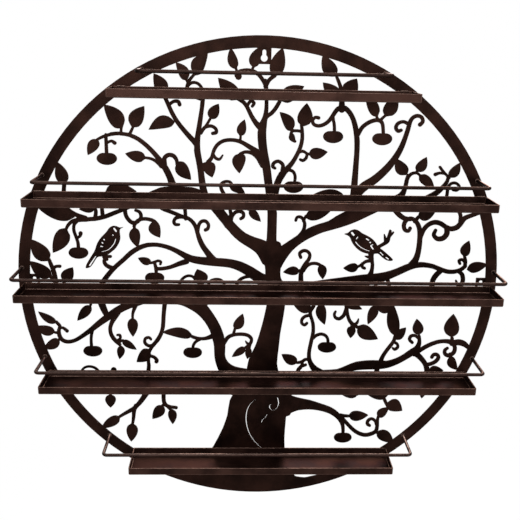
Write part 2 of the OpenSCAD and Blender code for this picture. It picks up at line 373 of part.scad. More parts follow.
// Branches below the third tray
LOW_BRANCHES = [
    [[-206, -27, 3.4], [-204.4, -18, 3.6], [-199, -9, 4]],
    [[-246, -57, 3.2], [-241, -57.4, 3.4], [-236.4, -61.4, 4.2]],
    [[-246.4, -64, 3.4], [-251, -63.4, 3.2]],
    [[-245.4, -70, 3.8], [-247.4, -73.6, 3.2]],
    [[-173, -36, 7], [-180, -47, 6], [-183.6, -57, 4.8], [-182.6, -66, 4.8], [-178.4, -73, 5],
        [-172.6, -79, 4]],
    [[-176.4, -74.6, 4.4], [-172, -71, 3.6], [-172.2, -66.6, 3.4], [-175.4, -66.2, 2.6]],
    [[-174.6, -75, 4], [-168.6, -73.6, 3.4]],
    [[-206, -61, 4.6], [-207.6, -71, 3.6], [-207.6, -82, 4]],
    [[-147.6, -19, 6.6], [-152.4, -29, 5.4], [-155.4, -38, 3.6], [-155.8, -45, 3]],
    [[-114.6, -17, 6], [-116.6, -28, 5.6], [-118, -42, 5.2], [-119, -55, 5.2], [-121.4, -64, 5.2],
     [-126, -72.6, 5.4], [-132.4, -80.4, 5], [-136, -87, 4.4], [-138.2, -96, 4.6], [-137.6, -107, 4.8],
     [-139, -120, 6], [-140, -140, 7]],
    [[-130.4, -79.4, 4], [-137, -80.4, 4], [-141.6, -76.4, 4], [-141, -71, 4], [-136.6, -69.4, 3.6],
     [-134, -71.8, 3]],
    [[-136.4, -94, 4], [-131, -95.6, 4], [-127.6, -99.6, 4.6], [-128, -101.6, 5.2]],
    [[-83, -68, 4], [-75, -70.4, 4.2], [-66, -70, 4.6], [-57, -66.6, 7]],
    [[-72, -70.6, 4], [-78, -74, 3.8], [-81.6, -79, 3.8], [-82.4, -84, 4]],
    [[-44, -76, 6], [-38.6, -68.4, 4.8], [-31, -65, 4.4], [-22, -64.2, 4.4], [-14, -65.8, 4.4],
        [-9.6, -70.6, 4.4],
     [-10.8, -76.6, 4.2], [-14, -80, 3.6]],
    [[-32.4, -65.6, 4], [-30.2, -57, 3.4]],
    [[-12.4, -78, 4], [-15.2, -76, 3], [-16.8, -73.6, 1.6]],
    [[-11, -77, 4], [-12, -84, 3.2]],
    [[-13, -79, 3.8], [-17.4, -82.6, 3.2]],
    [[64, -4, 5], [66.6, -16, 4.8], [66.4, -26, 4.8], [62.6, -33, 4.8], [63.4, -40, 4.6],
        [66.4, -49, 4.6],
     [67.2, -60, 4.6], [65.4, -72, 4.8], [63.4, -84, 4.8], [63.2, -95, 5.4], [66, -104, 6.6],
         [72, -112, 9],
     [82, -118, 10]],
    [[63, -38.6, 4], [57.4, -39.6, 4], [53, -43.4, 4], [52.4, -48.6, 4], [56, -51.4, 3.8],
        [59, -49, 3.4]],
    [[75, 2, 4.4], [76, -10, 4], [75, -25, 4]],
    [[67.2, -69, 4.2], [71.4, -65.2, 4], [77.4, -63.4, 4], [83.2, -65.8, 4], [86, -71, 4],
        [86, -77, 4]],
    [[104, 2, 5], [106.4, -14, 5], [107, -27, 5], [108.6, -36, 4.6], [112, -45.4, 4.8], [117.4, -51, 5],
     [124, -55, 4]],
    [[106.8, -30, 4.6], [104.4, -38, 4.6], [99, -42.8, 4.4], [93.8, -41, 4], [92.6, -36.4, 3.6],
     [94, -33.4, 2.8]],
    [[117.4, -51, 4], [121.4, -48, 3.6], [123, -43, 1.6]],
    [[115, -50, 4.2], [114.8, -55, 3.4]],
    [[141, 4, 4.6], [144.4, -10, 4.4], [144.6, -26, 4]],
    [[163, -20, 4.6], [160, -6, 4.6], [156, 8, 5]],
    [[170.4, -66, 4.6], [168.6, -73, 4.6], [163.6, -81, 4.8], [158.8, -88.6, 4.8],
        [155.4, -96, 5.4], [154, -103, 7]],
    [[169.4, -73.6, 3.8], [173.6, -76.2, 3.8], [174.6, -80.6, 3.8], [171, -83.4, 3.8], [168.6, -82, 3]],
    [[171, -66, 4], [174, -68, 4]],
    [[200.6, -69, 4], [196, -65, 4], [190.6, -65.2, 4.2], [188.8, -70, 4.2], [192.4, -74, 4.2]],
    [[196, -89, 8], [204.4, -83.6, 5.4], [213, -78, 5.4], [223, -73.6, 5.2], [233, -72, 5.2],
        [242, -73.6, 6.4],
     [247, -79.6, 5.2], [246.6, -87, 5.2], [241, -91.4, 5.4], [235.6, -89.4, 5], [235, -84.4, 4.4],
     [238, -81.4, 3.6]],
    [[243.6, -76, 5], [242.6, -68, 4.4]],
    [[243, -75, 7], [251, -73.4, 8], [258.6, -75.6, 7.4], [264.4, -80.4, 5.4], [270, -86, 4.6]],
    [[242, -90, 5], [244, -95, 3.6]],
    [[197, -88, 8], [204.6, -94.6, 7], [210.6, -102, 6.6], [214, -110, 7], [214.6, -120, 6.4],
        [212.6, -131, 5.4]],
    [[211, -104.6, 5], [217, -103.6, 5], [223.6, -100.4, 5], [227.4, -95.2, 5], [226, -90.8, 4.8],
     [221.4, -90.4, 4.6], [219, -94, 4.4]],
    [[214.6, -117, 4], [219.4, -116.6, 3.4]],
    [[63.6, -98, 4], [58.6, -98, 4], [54.4, -101, 4], [48.6, -102.4, 3.2]],
    [[54.6, -101, 4], [54.8, -106, 4.6], [50.6, -111.6, 5], [47.6, -119, 5], [41, -127, 6]],
    [[55.6, -107, 3.4], [59.4, -105.2, 3.6]],
    [[-136, -133, 5], [-163, -131.6, 4.6], [-187, -127.6, 4.4], [-197.4, -119.4, 3.8],
        [-203.4, -111.6, 3.2],
     [-210.6, -108.8, 3], [-217.4, -110.2, 3], [-221.6, -115.4, 3.2], [-220, -121, 3.4]],
    [[-187, -127.6, 4.4], [-184.6, -119, 4.6], [-181.6, -113.4, 7.4]],
    [[-189.4, -127, 4], [-188, -138, 3.8], [-187, -149, 3.6]],
    [[-155.6, -163, 5.6], [-158.2, -171, 5.4], [-159, -180, 4.6], [-160.6, -189, 3.8]],
    [[-116, -131, 6], [-119.4, -142, 5.6], [-120, -155, 5.2], [-117.4, -162, 5], [-110.6, -164.6, 3.8],
     [-104.4, -165.6, 4.4]],
    [[-118.4, -160, 4.4], [-122, -163, 3.6]],
    [[-116.6, -162.4, 4], [-111.6, -168.6, 3.2]],
    [[106, -176, 5], [112, -176.8, 4.2], [118, -177, 3.4]],
    [[108.6, -180, 6], [115, -186.6, 5], [122.4, -194.8, 5], [131, -201.4, 5.2], [140, -204.4, 5.2],
     [148.4, -202.8, 5.2], [154.4, -198.6, 5], [155.6, -190, 4.8], [155.4, -183, 4.4],
         [156.4, -177, 3.4]],
    [[154.6, -190, 4], [152.4, -184, 4], [147.8, -181, 4], [143.4, -183.4, 4.2], [142.6, -188.2, 4.6],
     [145.6, -190.6, 4]],
    [[153, -200, 4.4], [157, -201.4, 3.6]],
    [[150, -104, 7], [150.6, -120, 6], [154.4, -134, 5], [160, -148, 4.8], [164.4, -157, 4.6],
        [168, -164.6, 3.6]],
    [[138, -132, 4.4], [129, -138, 4], [127, -146, 3.6]],
    [[154, -133, 5], [146, -130, 4.6], [136, -132.6, 4.4]],
    [[163, -146, 3.6], [158, -143, 4]]
];

// Leaves. Each is [base, tip, width, sideways bow].
LEAVES = [
    [[-160, 186], [-180, 213], 18.5, -0.06], [[-149, 187.5], [-134.5, 212], 17, 0.05],
    [[-100, 195], [-130.5, 185.5], 15, -0.12], [[-134, 153], [-158, 158], 13, 0.01],
    [[-98.5, 150], [-82.5, 128.5], 15.5, -0.05], [[-188, 174], [-200.5, 155.5], 12.5, -0.04],
    [[-229, 121], [-236, 147.5], 15, -0.01], [[-185, 108.5], [-146, 114], 19, 0.1],
    [[-86, 240.5], [-98.5, 260.5], 12.5, -0.08], [[-77.5, 246], [-62.5, 271.5], 16, 0.1],
    [[-27.5, 220.5], [-51.5, 244.5], 17.5, 0.01], [[-31.5, 253.5], [-37.5, 277.5], 11.5, 0.05],
    [[-12, 255.5], [-6.5, 278], 12.5, 0.05], [[11.5, 246], [20.5, 278.5], 17, 0.01],
    [[81, 248], [65, 271.5], 16, 0.05], [[91, 229], [105, 246.5], 18, -0.08],
    [[88.5, 223], [66.5, 241.5], 16, 0.03], [[19.5, 220], [45.8, 237], 17, 0.05],
    [[-112.5, 223.5], [-123.2, 248], 16, -0.08], [[-60.5, 198.5], [-50.5, 216], 13, 0.01],
    [[-26, 179.5], [-21, 199], 11, 0.03], [[-61, 150.5], [-58, 131.5], 14.5, -0.08],
    [[-24, 161.5], [-26.5, 136.8], 15.5, -0.1], [[45, 191.5], [49.5, 218.5], 17.5, -0.04],
    [[33.5, 186], [18.5, 208], 13.5, -0.1], [[32, 184.5], [37.6, 173], 7.5, -0.08],
    [[53, 160.5], [75.6, 163.4], 13.5, -0.02], [[131, 203.5], [115.5, 230.5], 13, -0.03],
    [[139.5, 204.5], [151.5, 230], 16, -0.05], [[170, 138], [155.5, 157], 14.5, 0.06],
    [[181, 141.5], [191.6, 159.2], 12.3, -0.06], [[184, 138.3], [204, 121], 12, 0.03],
    [[220.3, 135.3], [231.5, 153], 11.8, -0.06], [[-38, 121.5], [-19, 112], 10, 0.08],
    [[101, 106], [57, 111], 19, -0.05], [[-219, 82.5], [-262.5, 94], 16.5, 0.02],
    [[-194, 96.5], [-214, 92], 12, 0.04], [[-230, 69.3], [-247.5, 38.5], 18.5, 0.04],
    [[-150.3, 71.3], [-146.6, 46], 13.3, -0.05], [[-128, 79], [-120, 58.5], 14.3, -0.09],
    [[-252.5, 28.3], [-272.5, 55], 19, 0.04], [[-250.5, 8], [-276, 28], 16.5, 0.05],
    [[-236.5, 2], [-225, 20.6], 15, 0.03], [[-131, 27], [-147, 33.2], 9.5, 0.03],
    [[-71, 0.5], [-76.5, 19.8], 18, -0.06], [[-14.5, 95], [-0.4, 79.5], 10, -0.02],
    [[51, 85.5], [85, 97], 14.5, -0.02], [[186.5, 87.5], [208, 95.5], 14, -0.04],
    [[48, 18.8], [27.5, 17], 11, -0.04], [[74, 27.5], [76.2, 8.4], 11.3, 0.01],
    [[119.5, 25.3], [100.5, 22.7], 11.3, 0.05], [[247.5, 38.3], [251.8, 59], 12.4, 0.06],
    [[252.3, 22.2], [277.5, 29.5], 13.4, 0.01], [[-205.6, -27.5], [-223.3, -47.6], 12, 0],
    [[-201, -16], [-225.5, -22.5], 12, 0.02], [[-248.6, -51], [-270, -36.2], 9.8, 0.04],
    [[-251, -63], [-275.3, -55.5], 13, 0.05], [[-246.2, -72.5], [-267.2, -85], 12.8, 0.05],
    [[-170, -73.2], [-152.2, -85.6], 9, 0], [[-171.4, -80.3], [-173.8, -98.5], 9.8, 0.04],
    [[-156, -43], [-156, -68.5], 13, 0], [[-136.8, -84.8], [-152.8, -102.3], 15.4, 0.09],
    [[-82, -67.5], [-120.5, -62.3], 13.5, -0.07], [[-30.5, -58], [-20.6, -37], 12.4, -0.06],
    [[-16.3, -81.7], [-33.8, -94.8], 9.5, 0], [[-12.3, -82], [-14.3, -97.6], 8.5, 0],
    [[65, -30.4], [42, -25.6], 13, 0.04], [[75, -22.6], [81.2, -51], 13.4, -0.06],
    [[103, -22], [127, -30], 10.5, 0.02], [[115, -52], [114.2, -68.5], 11.3, 0],
    [[122, -52.5], [149, -69.6], 18, -0.05], [[144.2, -24], [134.8, -50], 12.4, 0.01],
    [[162, -31], [142, -25.4], 13, 0], [[171, -66.6], [162.3, -18], 15.6, 0.02],
    [[171, -70.4], [183.3, -54], 12, 0.03], [[200, -64], [196, -42.3], 13.8, 0],
    [[242, -67], [241.6, -35.4], 19.3, 0.04], [[242.3, -92.5], [253.6, -111.5], 12, -0.1],
    [[216.5, -117.5], [235.5, -112], 16, 0.08], [[212.5, -129], [210.5, -151.5], 13, 0],
    [[49, -102.7], [28.4, -91], 13.4, 0.03], [[-187, -147], [-187.5, -165.6], 13.6, 0],
    [[-175.6, -178.4], [-201, -195], 13, 0], [[-161, -187.5], [-163, -214.3], 14.8, 0.02],
    [[-120.6, -162.5], [-135, -181.5], 14.3, 0.02], [[-110.5, -167.3], [-109, -189], 11.3, 0.03],
    [[117, -176.8], [143, -175.6], 14.3, -0.02], [[155.5, -199.6], [179, -216], 15.6, 0.04],
    [[155.2, -178.8], [169, -164.5], 11.6, 0.04], [[165.4, -159], [187, -169], 17.8, 0.09],
    [[167, -146.8], [141, -147], 14, -0.01], [[128.5, -145], [107, -146.4], 11, 0.02]
];

// Fruits. Each is the place of its centre.
FRUITS = [
    [-179, 152], [-217.3, 39], [-127.6, 8.4], [81, 181], [138, 179.4], [37, 122], [-206.3, -87.6],
    [-82.7, -89], [85.2, -80.8], [111.5, -208]
];

// Left bird, beak to the right, from the beak over the breast, tail and back
LEFT_BIRD = [
    [-163, 71], [-166.8, 68.4], [-167.4, 64], [-167, 58], [-168.4, 52.4], [-172.4, 45.6], [-178, 40.4],
    [-184, 36], [-190, 34.6], [-195, 33.6], [-200, 26.4], [-204, 21.4], [-209.6, 20], [-208, 25.6],
    [-203, 34], [-198, 42], [-194.6, 51], [-189.6, 58.4], [-183.4, 64.8], [-180, 69.6], [-175, 72.4],
    [-170, 71.6], [-167.4, 70.4]
];
// Right bird, beak to the left, from the beak over the back, tail and belly
RIGHT_BIRD = [
    [99.6, 65.6], [104, 67], [107.4, 70], [112, 71.4], [117, 70], [121.4, 66.8], [128, 63.6],
        [134, 59.8],
    [138.6, 55], [141.6, 50.4], [147, 46.4], [153.6, 41], [160.6, 34.4], [157.6, 32.6], [151.6, 34],
    [146, 38], [141.6, 41.6], [136, 41], [129, 41.4], [121, 44], [114.4, 49], [109.6, 55],
        [106.6, 61.4],
    [103.4, 64]
];
// Cuts in the birds, each a run of [x, height, width]
BIRD_CUTS = [
    [[-173.8, 69, 2.2], [-171.8, 66, 2.2]],
    [[-175.8, 61.4, 1.4], [-175.4, 60.8, 1.4]],
    [[-186.4, 55.6, 1.7], [-186, 55.2, 1.7]],
    [[-188.6, 51.6, 1.9], [-188.2, 51.2, 1.9]],
    [[-190.4, 47.2, 1.7], [-188.4, 46.8, 1.4]],
    [[-172.6, 56.4, slit_w], [-174.2, 51.6, slit_w], [-178, 46.4, slit_w], [-183, 42.4, slit_w],
     [-189.6, 40.6, slit_w]],
    [[-197, 34.8, slit_w], [-201, 28.8, 1.2], [-204.8, 23.2, 1.6]],
    [[108.8, 67.2, 2.2], [111.2, 64.4, 2.2]],
    [[116, 62, 1.2], [114.8, 59.8, 1.4]],
    [[113.8, 56, slit_w], [117.4, 51.8, slit_w], [122.6, 48, slit_w], [131, 44.8, slit_w]],
    [[126.6, 60, 1.4], [129.6, 58.2, 1.4]],
    [[131.4, 55.6, 1.7], [131.8, 55.2, 1.7]],
    [[134.8, 52.6, 1.4], [132.4, 51.4, 1.4]],
    [[132.4, 51.4, 1.4], [135.6, 47.2, 1.4]],
    [[144.6, 43.2, 1.2], [148, 39.8, 1.2]],
    [[152, 37, 1.2], [155, 34.8, 1.4]]
];
// Slits that draw the bark on the trunk
BARK_CUTS = [
    [[-4, -154, slit_w], [-10.4, -161, slit_w], [-14.2, -171, slit_w], [-15, -181, slit_w],
        [-13.6, -192, slit_w],
     [-10, -203, slit_w], [-4.4, -212.6, slit_w], [2, -220, slit_w], [9, -225.6, slit_w]],
    [[24.8, -151, slit_w], [26.4, -158, slit_w], [25, -164.4, slit_w], [20.6, -168.8, slit_w],
     [16, -167, slit_w], [15, -162.6, slit_w], [18, -159.4, slit_w]],
    [[12, -175, slit_w], [9.4, -179.4, slit_w], [6.4, -182.6, slit_w], [5, -186.4, slit_w]]
];
// Hollow in the ground at the right of the trunk, seen under the lowest tray
GROUND_CUT = [
    [50, -264.6], [56, -267], [65, -267.8], [74, -266.6], [82, -263.4], [84, -256], [66, -252], [50, -256]
];

// A point of the smooth curve through four neighbours, at t from 0 to 1 between b and c
function curve_point(a, b, c, d, t) =
    0.5 * (2 * b + (c - a) * t + (2 * a - 5 * b + 4 * c - d) * t * t + (3 * b - a - 3 * c + d) * t * t * t);

// How sharply a run of points turns at point i, in degrees
function turn(p, i) = i <= 0 || i >= len(p) - 1 ? 0 : let (
    come = [p[i][0] - p[i - 1][0], p[i][1] - p[i - 1][1]],
    leave = [p[i + 1][0] - p[i][0], p[i + 1][1] - p[i][1]]
) acos(min(1, come * leave / max(norm(come) * norm(leave), 0.001)));

// How many straight pieces stand for the curve from point i to the next
function pieces(p, i) = let (bend = max(turn(p, i), turn(p, i + 1))) bend > 40 ? 3 : bend > 17 ? 2 : 1;

// A smooth curve through a run of points
function smooth(p) = let (last = len(p) - 1) concat(
    [for (i = [0 : last - 1]) let (steps = pieces(p, i)) for (k = [0 : steps - 1])
        curve_point(p[max(i - 1, 0)], p[i], p[i + 1], p[min(i + 2, last)], k / steps)],
    [p[last]]);

// A smooth closed curve through a ring of points
function smooth_ring(p, steps) = let (n = len(p))
    [for (i = [0 : n - 1]) for (k = [0 : steps - 1])
        curve_point(p[(i + n - 1) % n], p[i], p[(i + 1) % n], p[(i + 2) % n], k / steps)];

// The sideways step from the curve's centre to its edge at point i
function half_step(s, i) = let (
    ahead = s[min(i + 1, len(s) - 1)],
    behind = s[max(i - 1, 0)],
    run = [ahead[0] - behind[0], ahead[1] - behind[1]]
) [-run[1], run[0]] / max(norm(run), 0.001) * s[i][2] / 2;

// A tapering branch along a run of [x, height, width], its ends round up to a certain width
module limb(p) {
    s = smooth(p);
    last = len(s) - 1;
    widest_round_end = 50;
    polygon(concat(
        [for (i = [0 : last]) [s[i][0], s[i][1]] + half_step(s, i)],
        [for (i = [last : -1 : 0]) [s[i][0], s[i][1]] - half_step(s, i)]));
    for (end = [s[0], s[last]]) {
        if (end[2] < widest_round_end) {
            translate([end[0], end[1]]) circle(d = end[2], $fn = 8);
        }
    }
}

// A leaf, blunt at its base and pointed at its tip, bowed sideways
module leaf(base, tip, width, bow) {
    steps = 6;
    axis = tip - base;
    side = [-axis[1], axis[0]] / norm(axis);
    spine = [for (k = [0 : steps]) base + axis * k / steps + side * bow * norm(axis) * sin(180 * k / steps)];
    half = [for (k = [0 : steps]) width / 2 * pow(sin(180 * pow(k / steps, 0.74)), 0.85)];
    polygon(concat(
        [for (k = [0 : steps]) spine[k] + side * half[k]],
        [for (k = [steps - 1 : -1 : 1]) spine[k] - side * half[k]]));
}

// A flat round fruit with a dip where its stem goes in
module fruit(place) {
    sides = 20;
    dip = 0.16;
    translate(place) polygon([for (k = [0 : sides - 1]) let (a = 360 * k / sides)
        [fruit_w / 2 * cos(a), fruit_h / 2 * sin(a) * (1 - dip * pow(max(sin(a), 0), 8))]]);
}

// The solid ground, a slice of the round panel with a slightly domed top
module ground_outline() {
    dome_r = 900;
    intersection() {
        circle(r = rim_r - rim_band / 2, $fn = 180);
        translate([0, ground_h - rim_r - dome_r]) circle(r = dome_r, $fn = 180);
        translate([-rim_r, -rim_r]) square([rim_d, rim_r]);
    }
}

// Trunk, branches, leaves, fruits and birds, as drawn for a rim 580 mm across
module tree_outline() {
    for (p = concat(TRUNK, TOP_BRANCHES, MIDDLE_BRANCHES, LOW_BRANCHES)) {
        limb(p);
    }
    for (l = LEAVES) {
        leaf(l[0], l[1], l[2], l[3]);
    }
    for (f = FRUITS) {
        fruit(f);
    }
    polygon(smooth_ring(LEFT_BIRD, 2));
    polygon(smooth_ring(RIGHT_BIRD, 2));
}

// Everything that stays inside the rim, seen from the front
module metal_outline() {
    difference() {
        union() {
            scale(art_scale) translate([0, -art_drop]) tree_outline();
            ground_outline();
        }
        scale(art_scale) translate([0, -art_drop]) {
            for (p = concat(BIRD_CUTS, BARK_CUTS)) {
                limb(p);
            }
            polygon(smooth_ring(GROUND_CUT, 2));
        }
    }
}

// The gaps that the laser takes out
module gaps_outline() {
    offset(delta = kerf / 2) difference() {
        circle(r = rim_in_r, $fn = 144);
        metal_outline();
    }
}

// The whole cut sheet: a round blank with the gaps taken out
module panel_outline() {
    difference() {
        circle(r = rim_r, $fn = 180);
        gaps_outline();
    }
}

// Moves a piece from the panel's frame, with the panel's front at y = 0 and its centre at
// height 0, to the part's origin on the wall
module hung() {
    translate([0, -sheet_t - tab_t, -key_z]) children();
}

// A flat outline stood up as a sheet, its front at y and its thickness running back
module upright(y, thickness) {
    translate([0, y + thickness, 0]) rotate([90, 0, 0]) linear_extrude(thickness) children();
}

// The tree and its rim
module tree_panel() {
    color(coat) upright(0, sheet_t) panel_outline();
}

// A folded tray: floor, front lip, two ends and a back wall flat on the panel
module shelf_tray(i) {
    color(coat) translate([tray_shift[i] - tray_w[i] / 2, -tray_depth, level[i] - tray_wall_h]) difference() {
        cube([tray_w[i], tray_depth, tray_wall_h]);
        translate([tray_t, tray_t, tray_t])
            cube([tray_w[i] - 2 * tray_t, tray_depth - 2 * tray_t, tray_wall_h]);
    }
}

// Half the distance between the legs of rail i, whose ends stand on the rim, to a tenth
function rail_half(i) =
    round(10 * sqrt(pow(rim_r - inset[i], 2) - pow(level[i] + rail_rise, 2))) / 10;

// The right half of a rail: half the front run, the quarter bend and the leg back to the panel
module rail_side(half) {
    bend = rail_bend_r + wire_d / 2;
    union() {
        union() {
            translate([0, -rail_reach, 0]) rotate([0, 90, 0])
                cylinder(d = wire_d, h = half - bend, $fn = 32);
            translate([half - bend, -rail_reach + bend, 0])
                rotate([0, 0, -90])
                rotate_extrude(angle = 90, $fn = 48)
                translate([bend, 0]) circle(d = wire_d, $fn = 32);
        }
        translate([half, 0, 0]) rotate([90, 0, 0]) cylinder(d = wire_d, h = rail_reach - bend, $fn = 32);
    }
}

// A wire rail: a front run with a bend and a leg at each end
module guard_rail(i) {
    color(coat) translate([rail_shift[i], 0, level[i] + rail_rise]) union() {
        rail_side(rail_half(i));
        mirror([1, 0, 0]) rail_side(rail_half(i));
    }
}

// A keyhole tab of the given width and length on the panel's back. Its inner edge is at x = 0,
// its top at height 0, and the keyhole stands key_in from the inner edge.
module keyhole_tab(width, length, key_in) {
    round_z = -length + key_margin + key_d / 2;
    neck_z = round_z + key_d / 2 + slot_l - slot_w / 2;
    color(coat) difference() {
        translate([0, sheet_t, -length]) cube([width, tab_t, length]);
        translate([key_in, sheet_t - 1, round_z]) rotate([-90, 0, 0])
            cylinder(d = key_d, h = tab_t + 2, $fn = 48);
        translate([key_in - slot_w / 2, sheet_t - 1, round_z]) cube([slot_w, tab_t + 2, neck_z - round_z]);
        translate([key_in, sheet_t - 1, neck_z]) rotate([-90, 0, 0])
            cylinder(d = slot_w, h = tab_t + 2, $fn = 48);
    }
}

// The tab at the top of the rim
module keyhole_tab_top() {
    translate([-top_tab_w / 2, 0, top_tab_top])
        keyhole_tab(top_tab_w, top_tab_lap + top_tab_drop, top_tab_w / 2);
}

// The tab at the right side of the rim
module keyhole_tab_right() {
    translate([side_tab_x, 0, side_tab_top]) keyhole_tab(side_tab_w, side_tab_l, side_key_in);
}

// The tab at the left side, the mirror image of the right one
module keyhole_tab_left() {
    mirror([1, 0, 0]) keyhole_tab_right();
}

// A quarter-round bead standing along z, its corner on the axis
module corner_bead(length) {
    rotate_extrude(angle = 90, $fn = 48) square([bead_r, length]);
}

// The collar of weld round each rail end, on the rim's face
module rail_weld_beads() {
    color(bead_coat) for (i = [0 : 4]) for (side = [-1, 1]) {
        translate([rail_shift[i] + side * rail_half(i), 0, level[i] + rail_rise])
            rotate([90, 0, 0])
            difference() {
            cylinder(
                r1 = wire_d / 2 + rail_bead_w, r2 = wire_d / 2 + rail_bead_w / 2, h = rail_bead_h, $fn = 32);
            translate([0, 0, -1]) cylinder(r = wire_d / 2 + bead_gap, h = rail_bead_h + 2, $fn = 32);
        }
    }
}

// A bead along x under an edge of a tray, in the corner with the panel's face
module bead_below(length) {
    mirror([0, 1, 0]) rotate([0, 90, 0]) corner_bead(length);
}

// A bead along x on top of a tray's back wall, in the corner with the panel's face
module bead_above(length) {
    mirror([0, 1, 0]) translate([length, 0, 0]) rotate([0, -90, 0]) corner_bead(length);
}

// The beads of tray i: one on the rim at each end and, below the top tray, one on the trunk.
// They run along the back wall's top edge above the panel's centre and under the floor below it.
module tray_beads(i) {
    above = level[i] > tray_wall_h;
    edge = above ? level[i] : level[i] - tray_wall_h;
    from = sqrt(pow(rim_in_r, 2) - pow(edge, 2)) + 0.5;
    to = min(sqrt(pow(rim_r, 2) - pow(edge, 2)), tray_w[i] / 2 - tray_shift[i]) - 0.5;
    length = min(tray_bead_l, to - from);
    for (side = [0, 1]) {
        mirror([side, 0, 0]) translate([(from + to - length) / 2, 0, edge]) tray_bead(length, above);
    }
    if (i > 0) {
        translate([trunk_x[i - 1] * art_scale - tray_bead_l / 2, 0, edge]) tray_bead(tray_bead_l, above);
    }
}

// One bead, above or below its edge
module tray_bead(length, above) {
    if (above) {
        bead_above(length);
    } else {
        bead_below(length);
    }
}

// All beads between the trays and the panel
module tray_weld_beads() {
    color(bead_coat) for (i = [0 : 4]) tray_beads(i);
}

// The beads along the edges of the tabs, on the back of the rim
module tab_weld_beads() {
    top_z = top_tab_top - 2 - tab_bead_l;
    side_z = side_tab_top - side_tab_l / 2 - tab_bead_l / 2;
    color(bead_coat) for (side = [0, 1]) mirror([side, 0, 0]) {
        translate([top_tab_w / 2, sheet_t, top_z]) corner_bead(tab_bead_l);
        translate([side_tab_x + side_tab_w, sheet_t, side_z]) corner_bead(tab_bead_l);
        translate([side_tab_x + side_tab_w - 1, sheet_t, side_tab_top])
            rotate([0, -90, 0]) corner_bead(tab_bead_l);
    }
}

hung() tree_panel();
hung() shelf_tray(0);  // shelf_tray_1
hung() shelf_tray(1);  // shelf_tray_2
hung() shelf_tray(2);  // shelf_tray_3
hung() shelf_tray(3);  // shelf_tray_4
hung() shelf_tray(4);  // shelf_tray_5
hung() guard_rail(0);  // guard_rail_1
hung() guard_rail(1);  // guard_rail_2
hung() guard_rail(2);  // guard_rail_3
hung() guard_rail(3);  // guard_rail_4
hung() guard_rail(4);  // guard_rail_5
hung() keyhole_tab_top();
hung() keyhole_tab_left();
hung() keyhole_tab_right();
hung() rail_weld_beads();
hung() tray_weld_beads();
hung() tab_weld_beads();
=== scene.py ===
"""A round wall rack for small bottles: a tree cut from sheet steel, trays, wire rails and tabs.

Every length is in metres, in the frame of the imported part: X to the right, Y back to the
wall, Z up, with the origin at the top keyhole.
"""

import logging
import math
from dataclasses import dataclass, field
from enum import Enum
from typing import Iterable, Optional, Sequence, Union

import bmesh
import bpy
from mathutils import Matrix, Vector, noise
from mathutils.kdtree import KDTree


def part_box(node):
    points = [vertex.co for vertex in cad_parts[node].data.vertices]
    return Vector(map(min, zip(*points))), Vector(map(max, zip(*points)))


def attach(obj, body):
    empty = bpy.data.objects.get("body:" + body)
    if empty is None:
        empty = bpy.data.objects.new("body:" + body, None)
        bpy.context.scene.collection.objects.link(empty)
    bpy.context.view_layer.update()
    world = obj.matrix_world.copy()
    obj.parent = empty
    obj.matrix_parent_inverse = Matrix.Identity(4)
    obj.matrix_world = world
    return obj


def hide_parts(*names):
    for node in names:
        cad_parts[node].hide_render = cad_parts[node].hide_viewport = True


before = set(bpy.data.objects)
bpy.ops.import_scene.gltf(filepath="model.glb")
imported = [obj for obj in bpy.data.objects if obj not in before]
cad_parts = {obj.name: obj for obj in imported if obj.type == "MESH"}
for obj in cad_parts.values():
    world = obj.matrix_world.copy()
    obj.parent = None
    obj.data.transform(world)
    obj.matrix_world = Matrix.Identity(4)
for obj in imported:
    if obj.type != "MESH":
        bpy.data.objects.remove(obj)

LOG = logging.getLogger("wall_rack")
MM = 0.001
TOUCH = 0.002 * MM  # corners nearer than this are one
SLIGHT = 0.01 * MM  # places nearer than this count as level
THROUGH = 0.5 * MM  # edges deeper than this run through a sheet
# How much of a face's normal lies along an axis.
SQUARE = 0.9995  # all of it
FACING = 0.9  # most of it
TURNED = 0.5  # a flat face with less has turned over
SIDEWAYS = 0.2  # hardly any
WHITE = (1.0, 1.0, 1.0)
SHINE = 0.3  # the coats' specular level
# Face attribute that paints faces lighter: partly scuffing, partly painted highlights on rims,
# folds, sheet edges and wire tops.
WEAR_AND_HIGHLIGHT = "wear_and_highlight"
BODY = "root"

Colour = tuple[float, float, float]
Box = tuple[Vector, Vector]
Mesh = bmesh.types.BMesh
Vert = bmesh.types.BMVert
Edge = bmesh.types.BMEdge
Face = bmesh.types.BMFace


class Slot(Enum):
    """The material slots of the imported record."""

    COAT = "coated_steel"
    WELD = "weld"


# Shader sockets


